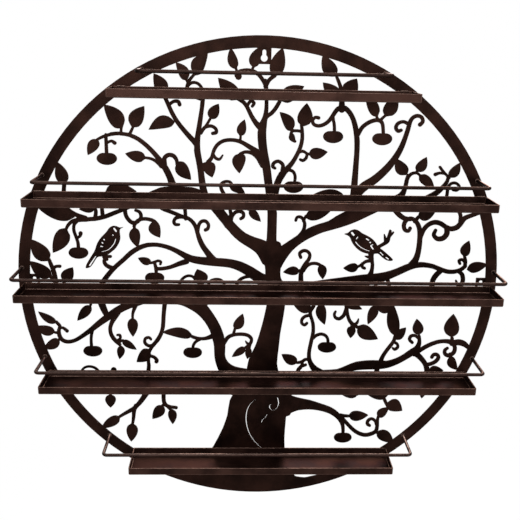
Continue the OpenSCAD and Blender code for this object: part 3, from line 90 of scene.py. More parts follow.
class Signal:
    """An output socket of a node, so that shader maths reads as an expression."""

    def __init__(self, graph: "Graph", socket: bpy.types.NodeSocket) -> None:
        """Keeps the socket and the graph that it belongs to.

        Args:
            graph: The graph that new nodes go into.
            socket: The output socket that carries the value.
        """
        self.graph = graph
        self.socket = socket

    def _math(self, operation: str, first: "Value", second: "Value") -> "Signal":
        """Adds one Math node.

        Args:
            operation: The Math node's operation.
            first: Its first value or link.
            second: Its second value or link.

        Returns:
            The node's output.
        """
        made = self.graph.node("ShaderNodeMath", {"operation": operation}, {0: first, 1: second})
        return Signal(self.graph, made.outputs[0])

    def __add__(self, other: "Value") -> "Signal":
        """This value plus another."""
        return self._math("ADD", self, other)

    def __radd__(self, other: "Value") -> "Signal":
        """Another value plus this one."""
        return self._math("ADD", other, self)

    def __sub__(self, other: "Value") -> "Signal":
        """This value less another."""
        return self._math("SUBTRACT", self, other)

    def __rsub__(self, other: "Value") -> "Signal":
        """Another value less this one."""
        return self._math("SUBTRACT", other, self)

    def __mul__(self, other: "Value") -> "Signal":
        """This value times another."""
        return self._math("MULTIPLY", self, other)

    def __rmul__(self, other: "Value") -> "Signal":
        """Another value times this one."""
        return self._math("MULTIPLY", other, self)

    def ramp(self, low: float, high: float) -> "Signal":
        """Turns the stretch from low to high into 0 to 1, with soft ends.

        Args:
            low: The value that becomes 0.
            high: The value that becomes 1.

        Returns:
            The new value.
        """
        made = self.graph.node(
            "ShaderNodeMapRange",
            {"interpolation_type": "SMOOTHSTEP"},
            {"Value": self, "From Min": low, "From Max": high, "To Min": 0.0, "To Max": 1.0},
        )
        return Signal(self.graph, made.outputs["Result"])


Value = Union[Signal, float, Sequence[float]]


class Graph:
    """The nodes of one material, or of the world."""

    def __init__(self, owner: Union[bpy.types.Material, bpy.types.World]) -> None:
        """Empties the owner's node tree.

        Args:
            owner: The material or the world whose nodes these are.
        """
        self.owner = owner
        owner.use_nodes = True
        self.tree = owner.node_tree
        self.tree.nodes.clear()

    def node(
        self,
        kind: str,
        settings: Optional[dict[str, object]] = None,
        values: Optional[dict[Union[int, str], Value]] = None,
    ) -> bpy.types.Node:
        """Adds one node.

        Args:
            kind: The node's type.
            settings: What is set on the node itself, before its sockets.
            values: A number, a colour or a link for each socket.

        Returns:
            The new node.
        """
        made = self.tree.nodes.new(kind)
        for key, setting in (settings or {}).items():
            setattr(made, key, setting)
        for key, value in (values or {}).items():
            if isinstance(value, Signal):
                self.tree.links.new(value.socket, made.inputs[key])
            else:
                made.inputs[key].default_value = value
        return made

    def place(self) -> Signal:
        """The point on the surface, in Object coordinates."""
        return Signal(self, self.node("ShaderNodeTexCoord").outputs["Object"])

    def attribute(self, name: str) -> Signal:
        """The value that a piece's faces carry under a name."""
        made = self.node("ShaderNodeAttribute", {"attribute_name": name})
        return Signal(self, made.outputs["Fac"])

    def noise(self, size: float, detail: float, rough: float) -> Signal:
        """Soft noise over the surface.

        Args:
            size: The size of one blot, in metres.
            detail: How many finer layers it has.
            rough: How strong the finer layers are.

        Returns:
            A value about 0.5.
        """
        made = self.node(
            "ShaderNodeTexNoise",
            None,
            {"Vector": self.place(), "Scale": 1 / size, "Detail": detail, "Roughness": rough},
        )
        return Signal(self, made.outputs["Fac"])

    def blend(self, first: Value, second: Value, share: Value) -> Signal:
        """Mixes two colours.

        Args:
            first: The colour at share 0.
            second: The colour at share 1.
            share: How much of the second colour shows.

        Returns:
            The mixed colour.
        """
        made = self.node("ShaderNodeMix", {"data_type": "RGBA"}, {0: share, 6: first, 7: second})
        return Signal(self, made.outputs[2])

    def bump(self, height: Signal, distance: float, strength: float) -> Signal:
        """Turns a height into a bumped normal.

        Args:
            height: The height, about 0 to 1.
            distance: The depth of the relief, in metres.
            strength: How much of it shows.

        Returns:
            The normal.
        """
        made = self.node(
            "ShaderNodeBump", None, {"Height": height, "Distance": distance, "Strength": strength}
        )
        return Signal(self, made.outputs["Normal"])

    def seen_plainly(self) -> Signal:
        """Tells what is seen from what lights.

        Returns:
            1 where the camera, a reflection or a see-through part looks, and 0 for light.
        """
        path = self.node("ShaderNodeLightPath")
        kinds = ("Is Camera Ray", "Is Glossy Ray", "Is Transmission Ray")
        camera, glossy, through = (Signal(self, path.outputs[kind]) for kind in kinds)
        return (camera + glossy + through).ramp(0.0, 1.0)

    def finish(self, shader: bpy.types.Node, output: str = "ShaderNodeOutputMaterial") -> None:
        """Sends a shader to the surface.

        Args:
            shader: The node whose first output is the surface.
            output: The type of the output node.
        """
        self.node(output, None, {"Surface": Signal(self, shader.outputs[0])})


# Finishes


def paint(level: Colour) -> tuple[float, float, float, float]:
    """A colour with full alpha."""
    return (*level, 1.0)


@dataclass(frozen=True)
class BakedCoat:
    """A dark bronze coat baked on steel: mottled, faintly grained, scuffed lighter along its edges
    and painted lighter where highlights fall.
    """

    name: str
    deep: Colour
    warm: Colour
    rubbed_and_highlight: Colour
    mottle: float = 38 * MM
    cloud_scale: float = 4.5  # times the mottle
    grain: float = 1.1 * MM
    speck_scale: float = 0.8  # times the grain
    wear_and_highlight_patch: float = 6 * MM
    relief: float = 0.05 * MM
    cloud_share: float = 0.35
    specks: float = 0.3
    least_wear_and_highlight: float = 0.35
    sheen_low: float = 0.34
    sheen_high: float = 0.52
    mottle_dulling: float = 0.06
    wear_polish: float = 0.08
    metallic: float = 0.82
    edge_tint: Colour = (0.42, 0.31, 0.27)
    edge_rub_and_highlight: float = 0.75

    def material(self) -> bpy.types.Material:
        """Builds the coat's material.

        Returns:
            The material.
        """
        material = bpy.data.materials.new(self.name)
        graph = Graph(material)
        mottle = graph.noise(size=self.mottle, detail=5.0, rough=0.62).ramp(low=0.36, high=0.66)
        cloud_size = self.mottle * self.cloud_scale
        cloud = graph.noise(size=cloud_size, detail=3.0, rough=0.5).ramp(low=0.35, high=0.65)
        grain = graph.noise(size=self.grain, detail=2.0, rough=0.5)
        speck_size = self.grain * self.speck_scale
        speck = graph.noise(size=speck_size, detail=3.0, rough=0.7).ramp(low=0.66, high=0.78)
        broken = graph.noise(size=self.wear_and_highlight_patch, detail=4.0, rough=0.7).ramp(low=0.3, high=0.6)
        wear_and_highlight = graph.attribute(WEAR_AND_HIGHLIGHT) * (self.least_wear_and_highlight + (1 - self.least_wear_and_highlight) * broken)
        mottle_share = mottle * (1 - self.cloud_share) + cloud * self.cloud_share
        ground = graph.blend(paint(self.deep), paint(self.warm), mottle_share)
        specked = graph.blend(ground, paint(self.rubbed_and_highlight), speck * self.specks)
        # Painted highlight and scuffing: the lighter colour goes where the face layer marks edges,
        # rims, folds and wire tops.
        colour = graph.blend(specked, paint(self.rubbed_and_highlight), wear_and_highlight * self.edge_rub_and_highlight)
        sheen = self.sheen_low + (self.sheen_high - self.sheen_low) * cloud
        rough = sheen + self.mottle_dulling * mottle - self.wear_polish * wear_and_highlight
        shader = graph.node(
            "ShaderNodeBsdfPrincipled",
            None,
            {
                "Base Color": colour,
                "Metallic": self.metallic,
                "Roughness": rough,
                "Specular IOR Level": SHINE,
                "Specular Tint": paint(self.edge_tint),
                "Normal": graph.bump(grain, self.relief, strength=0.5),
            },
        )
        graph.finish(shader)
        return material


@dataclass(frozen=True)
class CoatedWeld:
    """The same coat over a rippled weld, where it lies thinner and catches more light."""

    name: str
    deep: Colour
    bright: Colour
    ripple: float = 0.9 * MM
    relief: float = 0.12 * MM
    sheen_low: float = 0.3
    sheen_high: float = 0.5
    metallic: float = 0.8
    edge_tint: Colour = (0.5, 0.5, 0.5)

    def material(self) -> bpy.types.Material:
        """Builds the weld's material.

        Returns:
            The material.
        """
        material = bpy.data.materials.new(self.name)
        graph = Graph(material)
        ripple = graph.noise(size=self.ripple, detail=3.0, rough=0.6)
        share = ripple.ramp(low=0.38, high=0.62)
        shader = graph.node(
            "ShaderNodeBsdfPrincipled",
            None,
            {
                "Base Color": graph.blend(paint(self.deep), paint(self.bright), share),
                "Metallic": self.metallic,
                "Roughness": self.sheen_low + (self.sheen_high - self.sheen_low) * share,
                "Specular IOR Level": SHINE,
                "Specular Tint": paint(self.edge_tint),
                "Normal": graph.bump(ripple, self.relief, strength=0.6),
            },
        )
        graph.finish(shader)
        return material


@dataclass(frozen=True)
class Backdrop:
    """The pale floor: white to the camera, and still darkened by a shadow."""

    name: str
    colour: Colour = (0.86, 0.86, 0.86)
    own_light: float = 0.8
    near: float = 0.45
    far: float = 1.6

    def material(self) -> bpy.types.Material:
        """Builds the floor's material.

        Returns:
            The material.
        """
        material = bpy.data.materials.new(self.name)
        graph = Graph(material)
        # How far a point lies from the floor's middle, whatever its height.
        flat = {0: graph.place(), 1: (1.0, 1.0, 0.0)}
        spot = graph.node("ShaderNodeVectorMath", {"operation": "MULTIPLY"}, flat)
        level = {0: Signal(graph, spot.outputs["Vector"])}
        reach = graph.node("ShaderNodeVectorMath", {"operation": "LENGTH"}, level)
        away = Signal(graph, reach.outputs["Value"]).ramp(self.near, self.far)
        plain = graph.node("ShaderNodeBsdfDiffuse", None, {"Color": paint(self.colour)})
        white = graph.node("ShaderNodeEmission", None, {"Color": paint(WHITE), "Strength": 1.0})
        shader = graph.node(
            "ShaderNodeMixShader",
            None,
            {
                0: graph.seen_plainly() * (self.own_light + (1 - self.own_light) * away),
                1: Signal(graph, plain.outputs[0]),
                2: Signal(graph, white.outputs[0]),
            },
        )
        graph.finish(shader)
        return material


@dataclass
class Finishes:
    """The finishes of the rack, each made once."""

    panel: bpy.types.Material = field(init=False)
    tray: bpy.types.Material = field(init=False)
    wire: bpy.types.Material = field(init=False)
    weld: bpy.types.Material = field(init=False)
    floor: bpy.types.Material = field(init=False)

    def __post_init__(self) -> None:
        """Makes every material."""
        # Painted shade and light: the panel's and the wire's coats are set darker and the trays'
        # coat lighter, though the rack has one coat.
        self.panel = BakedCoat(
            "bronze_coat_panel",
            deep=(0.0046, 0.0020, 0.0015),
            warm=(0.0200, 0.0084, 0.0060),
            rubbed_and_highlight=(0.12, 0.064, 0.049),
        ).material()
        self.tray = BakedCoat(
            "bronze_coat_tray",
            deep=(0.0120, 0.0056, 0.0044),
            warm=(0.0400, 0.0190, 0.0145),
            rubbed_and_highlight=(0.20, 0.125, 0.100),
            mottle=30 * MM,
        ).material()
        self.wire = BakedCoat(
            "bronze_coat_wire",
            deep=(0.0080, 0.0042, 0.0034),
            warm=(0.0260, 0.0140, 0.0115),
            # This light colour is mostly the highlight painted along the wire tops.
            rubbed_and_highlight=(0.27, 0.190, 0.163),
            mottle=22 * MM,
            sheen_low=0.28,
            sheen_high=0.42,
        ).material()
        self.weld = CoatedWeld(
            "coated_weld", deep=(0.045, 0.026, 0.021), bright=(0.15, 0.100, 0.082)
        ).material()
        self.floor = Backdrop("pale_floor").material()


# Mesh work


def as_piece(
    name: str,
    mesh: Mesh,
    finish: bpy.types.Material,
    smooth_below: float = 32,
    keep_flat: bool = False,
) -> bpy.types.Object:
    """Turns a finished bmesh into an object at the origin.

    Args:
        name: The piece's name.
        mesh: The bmesh, which is freed.
        finish: The piece's material.
        smooth_below: Edges that turn less than this many degrees are shaded smooth.
        keep_flat: Whether faces square to an axis are shaded flat, as a sheet's are.

    Returns:
        The new object.
    """
    data = bpy.data.meshes.new(name)
    mesh.to_mesh(data)
    mesh.free()
    data.shade_smooth()
    data.set_sharp_from_angle(angle=math.radians(smooth_below))
    if keep_flat:
        for face in data.polygons:
            if max(abs(part) for part in face.normal) > SQUARE:
                face.use_smooth = False
    data.materials.append(finish)
    piece = bpy.data.objects.new(name, data)
    bpy.context.scene.collection.objects.link(piece)
    return piece


def hand_over(piece: bpy.types.Object, slot: Slot, *nodes: str) -> bpy.types.Object:
    """Fixes a piece to the rack in place of the plain solids.

    Args:
        piece: The finished piece.
        slot: The record's slot meant for the piece; not used.
        nodes: The names of the solids that it stands for.

    Returns:
        The same piece.
    """
    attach(piece, BODY)
    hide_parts(*nodes)
    LOG.info("%s: %d faces, for %s", piece.name, len(piece.data.polygons), ", ".join(nodes))
    return piece


def merged_copy(node: str) -> Mesh:
    """A copy of a node's mesh whose corners are joined.

    Args:
        node: The node's name.

    Returns:
        The bmesh, with a face layer for scuffing and painted highlights.
    """
    mesh = bmesh.new()
    mesh.from_mesh(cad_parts[node].data)
    bmesh.ops.remove_doubles(mesh, verts=mesh.verts, dist=TOUCH)
    mesh.faces.layers.float.new(WEAR_AND_HIGHLIGHT)
    mesh.normal_update()
    return mesh


def ease(mesh: Mesh, edges: Iterable[Edge], width: float, segments: int, wear_and_highlight: float) -> None:
    """Rounds edges over and paints the new faces lighter, as scuffing and as a painted highlight.

    Args:
        mesh: The bmesh to change.
        edges: The edges to round.
        width: How far the rounding reaches, in metres.
        segments: How many faces go across it.
        wear_and_highlight: How scuffed the rounding is and how strong its painted highlight, 0 to
            1.
    """
    wear_and_highlight_layer = mesh.faces.layers.float[WEAR_AND_HIGHLIGHT]
    made = bmesh.ops.bevel(
        mesh,
        geom=list(edges),
        offset=width,
        offset_type="OFFSET",
        affect="EDGES",
        segments=segments,
        profile=0.5,
        material=-1,
        clamp_overlap=False,
    )
    for face in made["faces"]:
        face[wear_and_highlight_layer] = wear_and_highlight
    mesh.normal_update()


def islands(node: str) -> list[list[Vector]]:
    """The corners of each separate solid of a node.

    Args:
        node: The node's name.

    Returns:
        One list of points for each solid.
    """
    mesh = merged_copy(node)
    seen: set[Vert] = set()
    groups: list[list[Vector]] = []
    for start in mesh.verts:
        if start in seen:
            continue
        group, queue = [], [start]
        seen.add(start)
        while queue:
            corner = queue.pop()
            group.append(corner.co.copy())
            for edge in corner.link_edges:
                other = edge.other_vert(corner)
                if other not in seen:
                    seen.add(other)
                    queue.append(other)
        groups.append(group)
    mesh.free()
    return groups


def box_of(points: Sequence[Vector]) -> Box:
    """Finds the box round a set of points.

    Args:
        points: The points.

    Returns:
        The box's lowest and highest corner.
    """
    low = Vector([min(p[k] for p in points) for k in range(3)])
    high = Vector([max(p[k] for p in points) for k in range(3)])
    return low, high


# Sub-assemblies


@dataclass
class CutSheet:
    """A flat cut piece: the tree panel or a keyhole tab, its cuts drawn as curves and eased."""

    node: str
    straight_below: float = 3.0
    corner_above: float = 48.0
    most_swell: float = 0.25 * MM
    spare: float = 0.35
    edge: float = 0.18 * MM
    segments: int = 2
    # Cut edges are scuffed lighter and carry a painted highlight.
    wear_and_highlight: float = 0.35
    smooth_below: float = 40
    keep_off: float = 1.5 * MM
    tries: int = 12

    def curved(self) -> Mesh:
        """Draws the gentle turns of the cut as curves; corners and straight cuts stay.

        Returns:
            The sheet's bmesh, its cut side in upright four-cornered faces.
        """
        mesh = merged_copy(self.node)
        slants = []
        for edge in mesh.edges:
            step = edge.verts[0].co - edge.verts[1].co
            if self.upright(edge) and math.hypot(step.x, step.z) > SLIGHT:
                slants.append(edge)
        bmesh.ops.dissolve_edges(mesh, edges=slants, use_verts=False)
        mesh.normal_update()
        self.swell(mesh)
        return mesh

    @staticmethod
    def upright(edge: Edge) -> bool:
        """Whether an edge runs through the sheet's thickness."""
        return abs(edge.verts[0].co.y - edge.verts[1].co.y) > THROUGH

    def swell(self, mesh: Mesh) -> None:
        """Splits each gently turning piece of the cut in two and moves the split onto the curve.

        A chord of a circle stands an eighth of its length times the turn below the arc. Where
        the arc bends into the metal, the faces beside it must be wide enough for it.

        Args:
            mesh: The sheet's bmesh, changed in place.
        """
        plans = []
        for wall in mesh.faces:
            posts = [edge for edge in wall.edges if self.upright(edge)]
            levels = [edge for edge in wall.edges if not self.upright(edge)]
            if len(posts) != 2 or len(levels) != 2:
                continue
            turns = [post.calc_face_angle_signed(0.0) for post in posts]
            gentle = [turn for turn in turns if abs(turn) < math.radians(self.corner_above)]
            bend = sum(gentle) / max(1, len(gentle))
            length = levels[0].calc_length()
            rise = max(-self.most_swell, min(self.most_swell, length * bend / 8))
            beside = [face for edge in levels for face in edge.link_faces if face is not wall]
            room = self.spare * min(2 * face.calc_area() / length for face in beside)
            if abs(bend) >= math.radians(self.straight_below) and -rise < room:
                plans.append((wall, levels, wall.normal * rise))
        for wall, levels, shift in plans:
            ends = [bmesh.utils.edge_split(edge, edge.verts[0], 0.5)[1] for edge in levels]
            for corner in ends:
                corner.co += shift
            bmesh.utils.face_split(wall, *ends)
        mesh.normal_update()
        flats = [face for face in mesh.faces if len(face.verts) > 3 and abs(face.normal.y) > FACING]
        bmesh.ops.triangulate(mesh, faces=flats)
        mesh.normal_update()

    def face_edges(self, mesh: Mesh) -> list[Edge]:
        """The edges between a flat face of the sheet and its cut side.

        Args:
            mesh: The sheet's bmesh.

        Returns:
            The edges to ease.
        """
        found = []
        for edge in mesh.edges:
            if len(edge.link_faces) != 2:
                continue
            first, second = (abs(face.normal.y) for face in edge.link_faces)
            if max(first, second) > FACING and min(first, second) < SIDEWAYS:
                found.append(edge)
        return found

    @staticmethod
    def turned_over(mesh: Mesh) -> list[Face]:
        """The triangles of the flat faces that easing has turned over.

        Args:
            mesh: The sheet's bmesh, with its edges eased.

        Returns:
            The triangles that look into the sheet.
        """
        near, far = (pick(vert.co.y for vert in mesh.verts) for pick in (min, max))
        found = []
        for face in mesh.faces:
            depths = [vert.co.y for vert in face.verts]
            on_near = max(depths) < near + TOUCH
            on_far = min(depths) > far - TOUCH
            if (on_near and face.normal.y > -TURNED) or (on_far and face.normal.y < TURNED):
                found.append(face)
        return found

    @staticmethod
    def roomy(edges: Iterable[Edge], tight: Sequence[tuple[Vector, float]]) -> list[Edge]:
        """The edges that keep away from the tight spots.

        Args:
            edges: The edges to choose from.
            tight: The place and the radius of each tight spot.

        Returns:
            The edges with room to be eased.
        """
        spots = KDTree(len(tight))
        for number, (place, _) in enumerate(tight):
            spots.insert(place, number)
        spots.balance()
        reach = max((radius for _, radius in tight), default=0.0)
        found = []
        for edge in edges:
            middle = (edge.verts[0].co + edge.verts[1].co) / 2
            if all(away > tight[number][1] for _, number, away in spots.find_range(middle, reach)):
                found.append(edge)
        return found

    def eased(self) -> Mesh:
        """Eases the cut edges, apart from the sharp notches and corners that leave no room for it.

        A spot that easing folds over is left sharp on the next try, and each try clears more
        room about the spots it finds than the try before.

        Returns:
            The sheet's bmesh.
        """
        tight: list[tuple[Vector, float]] = []
        plain = self.curved()
        mesh = plain.copy()
        for count in range(1, self.tries + 1):
            edges = self.roomy(self.face_edges(mesh), tight)
            ease(mesh, edges, self.edge, self.segments, self.wear_and_highlight)
            turned = self.turned_over(mesh)
            LOG.info("%s: %d edges eased, %d triangles turned", self.node, len(edges), len(turned))
            if not turned:
                break
            radius = count * self.keep_off
            tight += [(vert.co.copy(), radius) for face in turned for vert in face.verts]
            mesh.free()
            mesh = plain.copy()
        plain.free()
        return mesh

    def build(self, finish: bpy.types.Material) -> bpy.types.Object:
        """Builds and dresses the sheet.

        Args:
            finish: The sheet's material.

        Returns:
            The piece.
        """
        name = self.node + "_cut"
        piece = as_piece(name, self.eased(), finish, self.smooth_below, keep_flat=True)
        return hand_over(piece, Slot.COAT, self.node)


@dataclass
class FoldedTray:
    """A tray folded from one sheet, its folds rounded and its top edge eased, with highlights
    painted along its rims, top faces and folds.
    """

    node: str
    sheet: float = 1.2 * MM
    fold: float = 1.5 * MM
    fold_steps: int = 4
    fold_wear_and_highlight: float = 0.3
    inner_fold: float = 0.6 * MM
    inner_steps: int = 3
    inner_fold_highlight: float = 0.75
    lip_edge: float = 0.3 * MM
    lip_steps: int = 2
    lip_wear_and_highlight: float = 1.0
    painted_top_highlight: float = 0.8

    def build(self, finish: bpy.types.Material) -> bpy.types.Object:
        """Builds and dresses the tray.

        Args:
            finish: The tray's material.

        Returns:
            The piece.
        """
        low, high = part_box(self.node)
        size = high - low
        mesh = bmesh.new()
        wear_and_highlight_layer = mesh.faces.layers.float.new(WEAR_AND_HIGHLIGHT)
        bmesh.ops.create_cube(mesh, size=1.0)
        bmesh.ops.scale(mesh, vec=size, verts=mesh.verts)
        bmesh.ops.translate(mesh, vec=(low + high) / 2, verts=mesh.verts)
        mesh.normal_update()
        folds = [e for e in mesh.edges if min(v.co.z for v in e.verts) < low.z + self.sheet]
        ease(mesh, folds, self.fold, self.fold_steps, self.fold_wear_and_highlight)
        top = max(mesh.faces, key=lambda face: face.calc_center_median().z)
        bmesh.ops.inset_region(
            mesh, faces=[top], thickness=self.sheet, depth=0.0, use_even_offset=True
        )
        inner = max(mesh.faces, key=self.height_and_area)
        drop = bmesh.ops.extrude_discrete_faces(mesh, faces=[inner])["faces"][0]
        bmesh.ops.translate(mesh, vec=(0, 0, self.sheet - size.z), verts=drop.verts)
        mesh.normal_update()
        # Painted highlight line along the inner fold between floor and walls.
        ease(mesh, list(drop.edges), self.inner_fold, self.inner_steps, self.inner_fold_highlight)
        brim = high.z - SLIGHT
        rims = [
            edge
            for edge in mesh.edges
            if all(vert.co.z > brim for vert in edge.verts)
            and len(edge.link_faces) == 2
            and min(abs(face.normal.z) for face in edge.link_faces) < SIDEWAYS
        ]
        # The rounded rims are scuffed lighter and carry a painted highlight.
        ease(mesh, rims, self.lip_edge, self.lip_steps, self.lip_wear_and_highlight)
        # Painted highlight: the top faces of the rims are painted lighter.
        for face in mesh.faces:
            if face.normal.z > FACING and face.calc_center_median().z > brim:
                face[wear_and_highlight_layer] = self.painted_top_highlight
        piece = as_piece(self.node + "_folded", mesh, finish, keep_flat=True)
        return hand_over(piece, Slot.COAT, self.node)

    @staticmethod
    def height_and_area(face: Face) -> tuple[float, float]:
        """A face's height, to the micrometre, and its area."""
        return round(face.calc_center_median().z, 6), face.calc_area()


@dataclass
class WireRail:
    """A guard rail bent from one wire: two legs, two bends and the front run, with a highlight
    painted along its top.
    """

    node: str
    painted_top_highlight: float = 1.0
    highlight_falloff: int = 7
    inner_bend: float = 3.0 * MM
    round_sides: int = 20
    bend_steps: int = 10

    def build(self, finish: bpy.types.Material) -> bpy.types.Object:
        """Builds and dresses the rail.

        Args:
            finish: The rail's material.

        Returns:
            The piece.
        """
        low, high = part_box(self.node)
        radius = (high.z - low.z) / 2
        bend = self.inner_bend + radius
        height = (low.z + high.z) / 2
        left, right, front = low.x + radius, high.x - radius, low.y + radius
        mesh = bmesh.new()
        wear_and_highlight_layer = mesh.faces.layers.float.new(WEAR_AND_HIGHLIGHT)
        upright = Matrix.Rotation(math.radians(90), 4, "X")
        place = Matrix.Translation((right, high.y, height)) @ upright
        ring = bmesh.ops.create_circle(
            mesh, cap_ends=True, segments=self.round_sides, radius=radius, matrix=place
        )["verts"]
        ring = self.run(mesh, ring, Vector((0, front + bend - high.y, 0)))
        ring = self.turn(mesh, ring, Vector((right - bend, front + bend, height)))
        ring = self.run(mesh, ring, Vector((left - right + 2 * bend, 0, 0)))
        ring = self.turn(mesh, ring, Vector((left + bend, front + bend, height)))
        ring = self.run(mesh, ring, Vector((0, high.y - front - bend, 0)))
        bmesh.ops.contextual_create(mesh, geom=self.loop(mesh, ring))
        bmesh.ops.recalc_face_normals(mesh, faces=mesh.faces)
        # Painted highlight: faces that look up are painted lighter, most of all the topmost.
        for face in mesh.faces:
            face[wear_and_highlight_layer] = self.painted_top_highlight * max(0.0, face.normal.z) ** self.highlight_falloff
        piece = as_piece(self.node + "_wire", mesh, finish)
        return hand_over(piece, Slot.COAT, self.node)

    @staticmethod
    def loop(mesh: Mesh, ring: Sequence[Vert]) -> list[Edge]:
        """The edges that join a ring of corners."""
        inside = set(ring)
        return [e for e in mesh.edges if e.verts[0] in inside and e.verts[1] in inside]

    def run(self, mesh: Mesh, ring: Sequence[Vert], step: Vector) -> list[Vert]:
        """Draws a straight stretch of wire on from a ring.

        Args:
            mesh: The rail's bmesh.
            ring: The corners at the wire's end.
            step: Where the stretch goes, from its start.

        Returns:
            The corners at the new end.
        """
        made = bmesh.ops.extrude_edge_only(mesh, edges=self.loop(mesh, ring))["geom"]
        ends = [part for part in made if isinstance(part, Vert)]
        bmesh.ops.translate(mesh, vec=step, verts=ends)
        return ends

    def turn(self, mesh: Mesh, ring: Sequence[Vert], centre: Vector) -> list[Vert]:
        """Bends the wire a quarter turn to the left, as seen from the start of the wire.

        Args:
            mesh: The rail's bmesh.
            ring: The corners at the wire's end.
            centre: The centre of the bend.

        Returns:
            The corners at the new end.
        """
        made = bmesh.ops.spin(
            mesh,
            geom=self.loop(mesh, ring),
            cent=centre,
            axis=(0, 0, -1),
            angle=math.radians(90),
            steps=self.bend_steps,
            use_merge=False,
        )["geom_last"]
        return [part for part in made if isinstance(part, Vert)]


@dataclass
class WeldBeads:
    """The welds of one kind, each a row of small overlapping drops."""

    node: str
    smooth_below: float = 80
    drop: float = 1.15 * MM
    pitch: float = 0.95 * MM
    end_inset: float = 0.6
    mean_drop: float = 0.92
    lump: float = 0.08
    lump_density: float = 900
    roundness: int = 2

    def build(self, finish: bpy.types.Material) -> bpy.types.Object:
        """Builds and dresses the beads.

        Args:
            finish: The beads' material.

        Returns:
            The piece.
        """
        mesh = bmesh.new()
        mesh.faces.layers.float.new(WEAR_AND_HIGHLIGHT)
        for count, corners in enumerate(islands(self.node)):
            self.bead(mesh, corners, count)
        piece = as_piece(self.node + "_drops", mesh, finish, self.smooth_below)
        return hand_over(piece, Slot.WELD, self.node)

    def bead(self, mesh: Mesh, corners: Sequence[Vector], count: int) -> None:
        """Lays one bead along the corner that its solid fills.

        Args:
            mesh: The beads' bmesh.
            corners: The solid's corners.
            count: The bead's number, which varies its drops.
        """
        low, high = box_of(corners)
        size = high - low
        along = max(range(3), key=lambda k: size[k])
        first, second = (k for k in range(3) if k != along)
        ends = [(a, b) for a in (low[first], high[first]) for b in (low[second], high[second])]
        best = min(
            ends,
            key=lambda end: min(abs(p[first] - end[0]) + abs(p[second] - end[1]) for p in corners),
        )
        inset = self.end_inset * self.drop
        number = max(2, round((size[along] - self.drop) / self.pitch))
        for k in range(number + 1):
            place = (low + high) / 2
            place[along] = low[along] + inset + (size[along] - 2 * inset) * k / number
            place[first], place[second] = best
            lump = noise.noise(place * self.lump_density + Vector((count, 0, 0)))
            self.add_drop(mesh, place, self.drop * (self.mean_drop + self.lump * lump), (1, 1, 1))

    def add_drop(self, mesh: Mesh, place: Vector, radius: float, squash: Sequence[float]) -> None:
        """Adds one drop of weld.

        Args:
            mesh: The beads' bmesh.
            place: The drop's centre.
            radius: Its radius.
            squash: How much it is flattened along each axis.
        """
        matrix = Matrix.Translation(place) @ Matrix.Diagonal((*squash, 1))
        bmesh.ops.create_icosphere(
            mesh, subdivisions=self.roundness, radius=radius, matrix=matrix
        )


@dataclass
class RailWelds(WeldBeads):
    """The welds round the ends of the rails, each a ring of drops on the rim."""

    mean_drop: float = 0.8
    lump: float = 0.06
    lump_density: float = 700
    drops_round: int = 9
    ring_inset: float = 0.86
    sunk: float = 0.25 * MM
    turn_each: float = 0.37
    tall: float = 1.25

    def bead(self, mesh: Mesh, corners: Sequence[Vector], count: int) -> None:
        """Lays a ring of drops round one wire.

        Args:
            mesh: The beads' bmesh.
            corners: The solid's corners.
            count: The bead's number, which varies its drops.
        """
        low, high = box_of(corners)
        ring = (high.x - low.x) / 2 - self.drop * self.ring_inset
        centre = Vector(((low.x + high.x) / 2, high.y - self.sunk, (low.z + high.z) / 2))
        for k in range(self.drops_round):
            angle = 2 * math.pi * (k + self.turn_each * count) / self.drops_round
            place = centre + Vector((math.cos(angle) * ring, 0, math.sin(angle) * ring))
            lump = noise.noise(place * self.lump_density)
            radius = self.drop * (self.mean_drop + self.lump * lump)
            self.add_drop(mesh, place, radius, (1, self.tall, 1))


# Stage


@dataclass
class PhotoCamera:
    """The camera that took the photograph, found from the rack's own corners."""

    place: Vector = field(default_factory=lambda: Vector((-0.0262, -0.8510, 0.0148)))
    turned: Vector = field(default_factory=lambda: Vector((0.2907, -0.0353, 0.0148)))
    frame_px: float = 520
    focal_px: float = 733.7
    centre_px: tuple[float, float] = (265.91, 263.57)
    sensor_mm: float = 36
    nearest: float = 0.05

    def build(self) -> bpy.types.Object:
        """Makes the camera and has the scene use it.

        Returns:
            The camera.
        """
        data = bpy.data.cameras.new("photo_camera")
        data.sensor_fit = "HORIZONTAL"
        data.sensor_width = self.sensor_mm
        data.lens = self.focal_px / self.frame_px * self.sensor_mm
        data.shift_x = (self.frame_px / 2 - self.centre_px[0]) / self.frame_px
        data.shift_y = (self.centre_px[1] - self.frame_px / 2) / self.frame_px
        data.clip_start = self.nearest
        camera = bpy.data.objects.new("photo_camera", data)
        level = Matrix(((1, 0, 0), (0, 0, -1), (0, 1, 0)))
        view = Matrix.Rotation(self.turned.length, 3, self.turned.normalized()) @ level
        axes = Matrix((view[0], -view[1], -view[2])).transposed()
        camera.matrix_world = Matrix.Translation(self.place) @ axes.to_4x4()
        bpy.context.scene.collection.objects.link(camera)
        bpy.context.scene.camera = camera
        return camera


@dataclass(frozen=True)
class SoftLamp:
    """A square lamp that faces a point of the rack."""

    name: str
    place: tuple[float, float, float]
    side: float
    watts: float
    aim: tuple[float, float, float] = (0.0, 0.0, -0.27)

    def build(self) -> bpy.types.Object:
        """Makes the lamp.

        Returns:
            The lamp.
        """
        data = bpy.data.lights.new(self.name, "AREA")
        data.shape = "SQUARE"
        data.size = self.side
        data.energy = self.watts
        lamp = bpy.data.objects.new(self.name, data)
        lamp.location = self.place
        gaze = Vector(self.aim) - Vector(self.place)
        lamp.rotation_euler = gaze.to_track_quat("-Z", "Y").to_euler()
        bpy.context.scene.collection.objects.link(lamp)
        return lamp


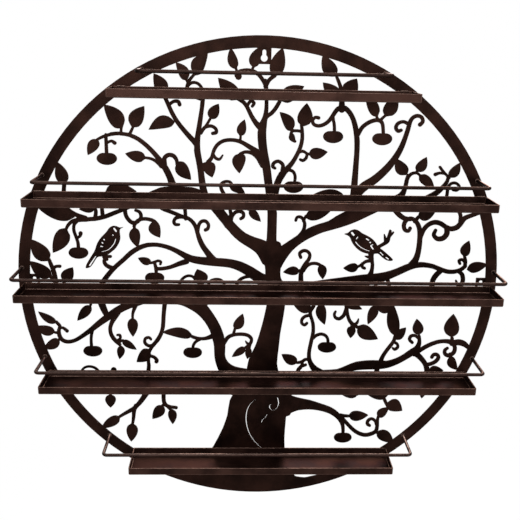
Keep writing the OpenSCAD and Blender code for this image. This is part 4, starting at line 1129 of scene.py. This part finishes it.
@dataclass
class Studio:
    """The floor, the white surround and the lamps."""

    floor_z: float = -1.25
    floor_side: float = 9.0
    room_light: float = 0.5
    lamps: tuple[SoftLamp, ...] = (
        SoftLamp("key_lamp", (-0.25, -1.8, 0.45), 1.5, 30),
        SoftLamp("fill_lamp", (1.5, -1.5, -0.1), 1.4, 10),
        SoftLamp("top_lamp", (0.0, -0.75, 1.1), 0.8, 10),
        SoftLamp("back_lamp", (0.4, 1.7, 0.3), 1.5, 36),
    )

    def build(self, floor_finish: bpy.types.Material) -> None:
        """Makes the stage.

        Args:
            floor_finish: The floor's material.
        """
        mesh = bmesh.new()
        bmesh.ops.create_grid(mesh, x_segments=4, y_segments=4, size=self.floor_side / 2)
        bmesh.ops.translate(mesh, vec=(0, 0, self.floor_z), verts=mesh.verts)
        floor = as_piece("floor", mesh, floor_finish)
        for lamp in self.lamps:
            lamp.build()
        self.surround()

    def surround(self) -> None:
        """Makes the white surround: plain white where it is seen, dimmer as light."""
        world = bpy.data.worlds.new("white_surround")
        bpy.context.scene.world = world
        graph = Graph(world)
        strength = self.room_light + (1 - self.room_light) * graph.seen_plainly()
        look = {"Color": paint(WHITE), "Strength": strength}
        light = graph.node("ShaderNodeBackground", None, look)
        graph.finish(light, "ShaderNodeOutputWorld")


@dataclass
class WallRack:
    """The whole rack, from the panel to its welds."""

    finishes: Finishes
    levels: int = 5

    def build(self) -> None:
        """Builds every sub-assembly in order."""
        CutSheet("tree_panel").build(self.finishes.panel)
        for number in range(1, self.levels + 1):
            FoldedTray(f"shelf_tray_{number}").build(self.finishes.tray)
        for number in range(1, self.levels + 1):
            WireRail(f"guard_rail_{number}").build(self.finishes.wire)
        for side in ("top", "left", "right"):
            CutSheet(f"keyhole_tab_{side}", wear_and_highlight=0.8).build(self.finishes.panel)
        RailWelds("rail_weld_beads").build(self.finishes.weld)
        WeldBeads("tray_weld_beads").build(self.finishes.weld)
        WeldBeads("tab_weld_beads").build(self.finishes.weld)


def main() -> None:
    """Builds the rack and its stage."""
    logging.basicConfig(level=logging.INFO, format="%(name)s %(message)s")
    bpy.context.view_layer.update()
    scene = bpy.context.scene
    scene.view_settings.view_transform = "Standard"
    finishes = Finishes()
    PhotoCamera().build()
    WallRack(finishes).build()
    Studio().build(finishes.floor)


if __name__ == "__main__":
    main()
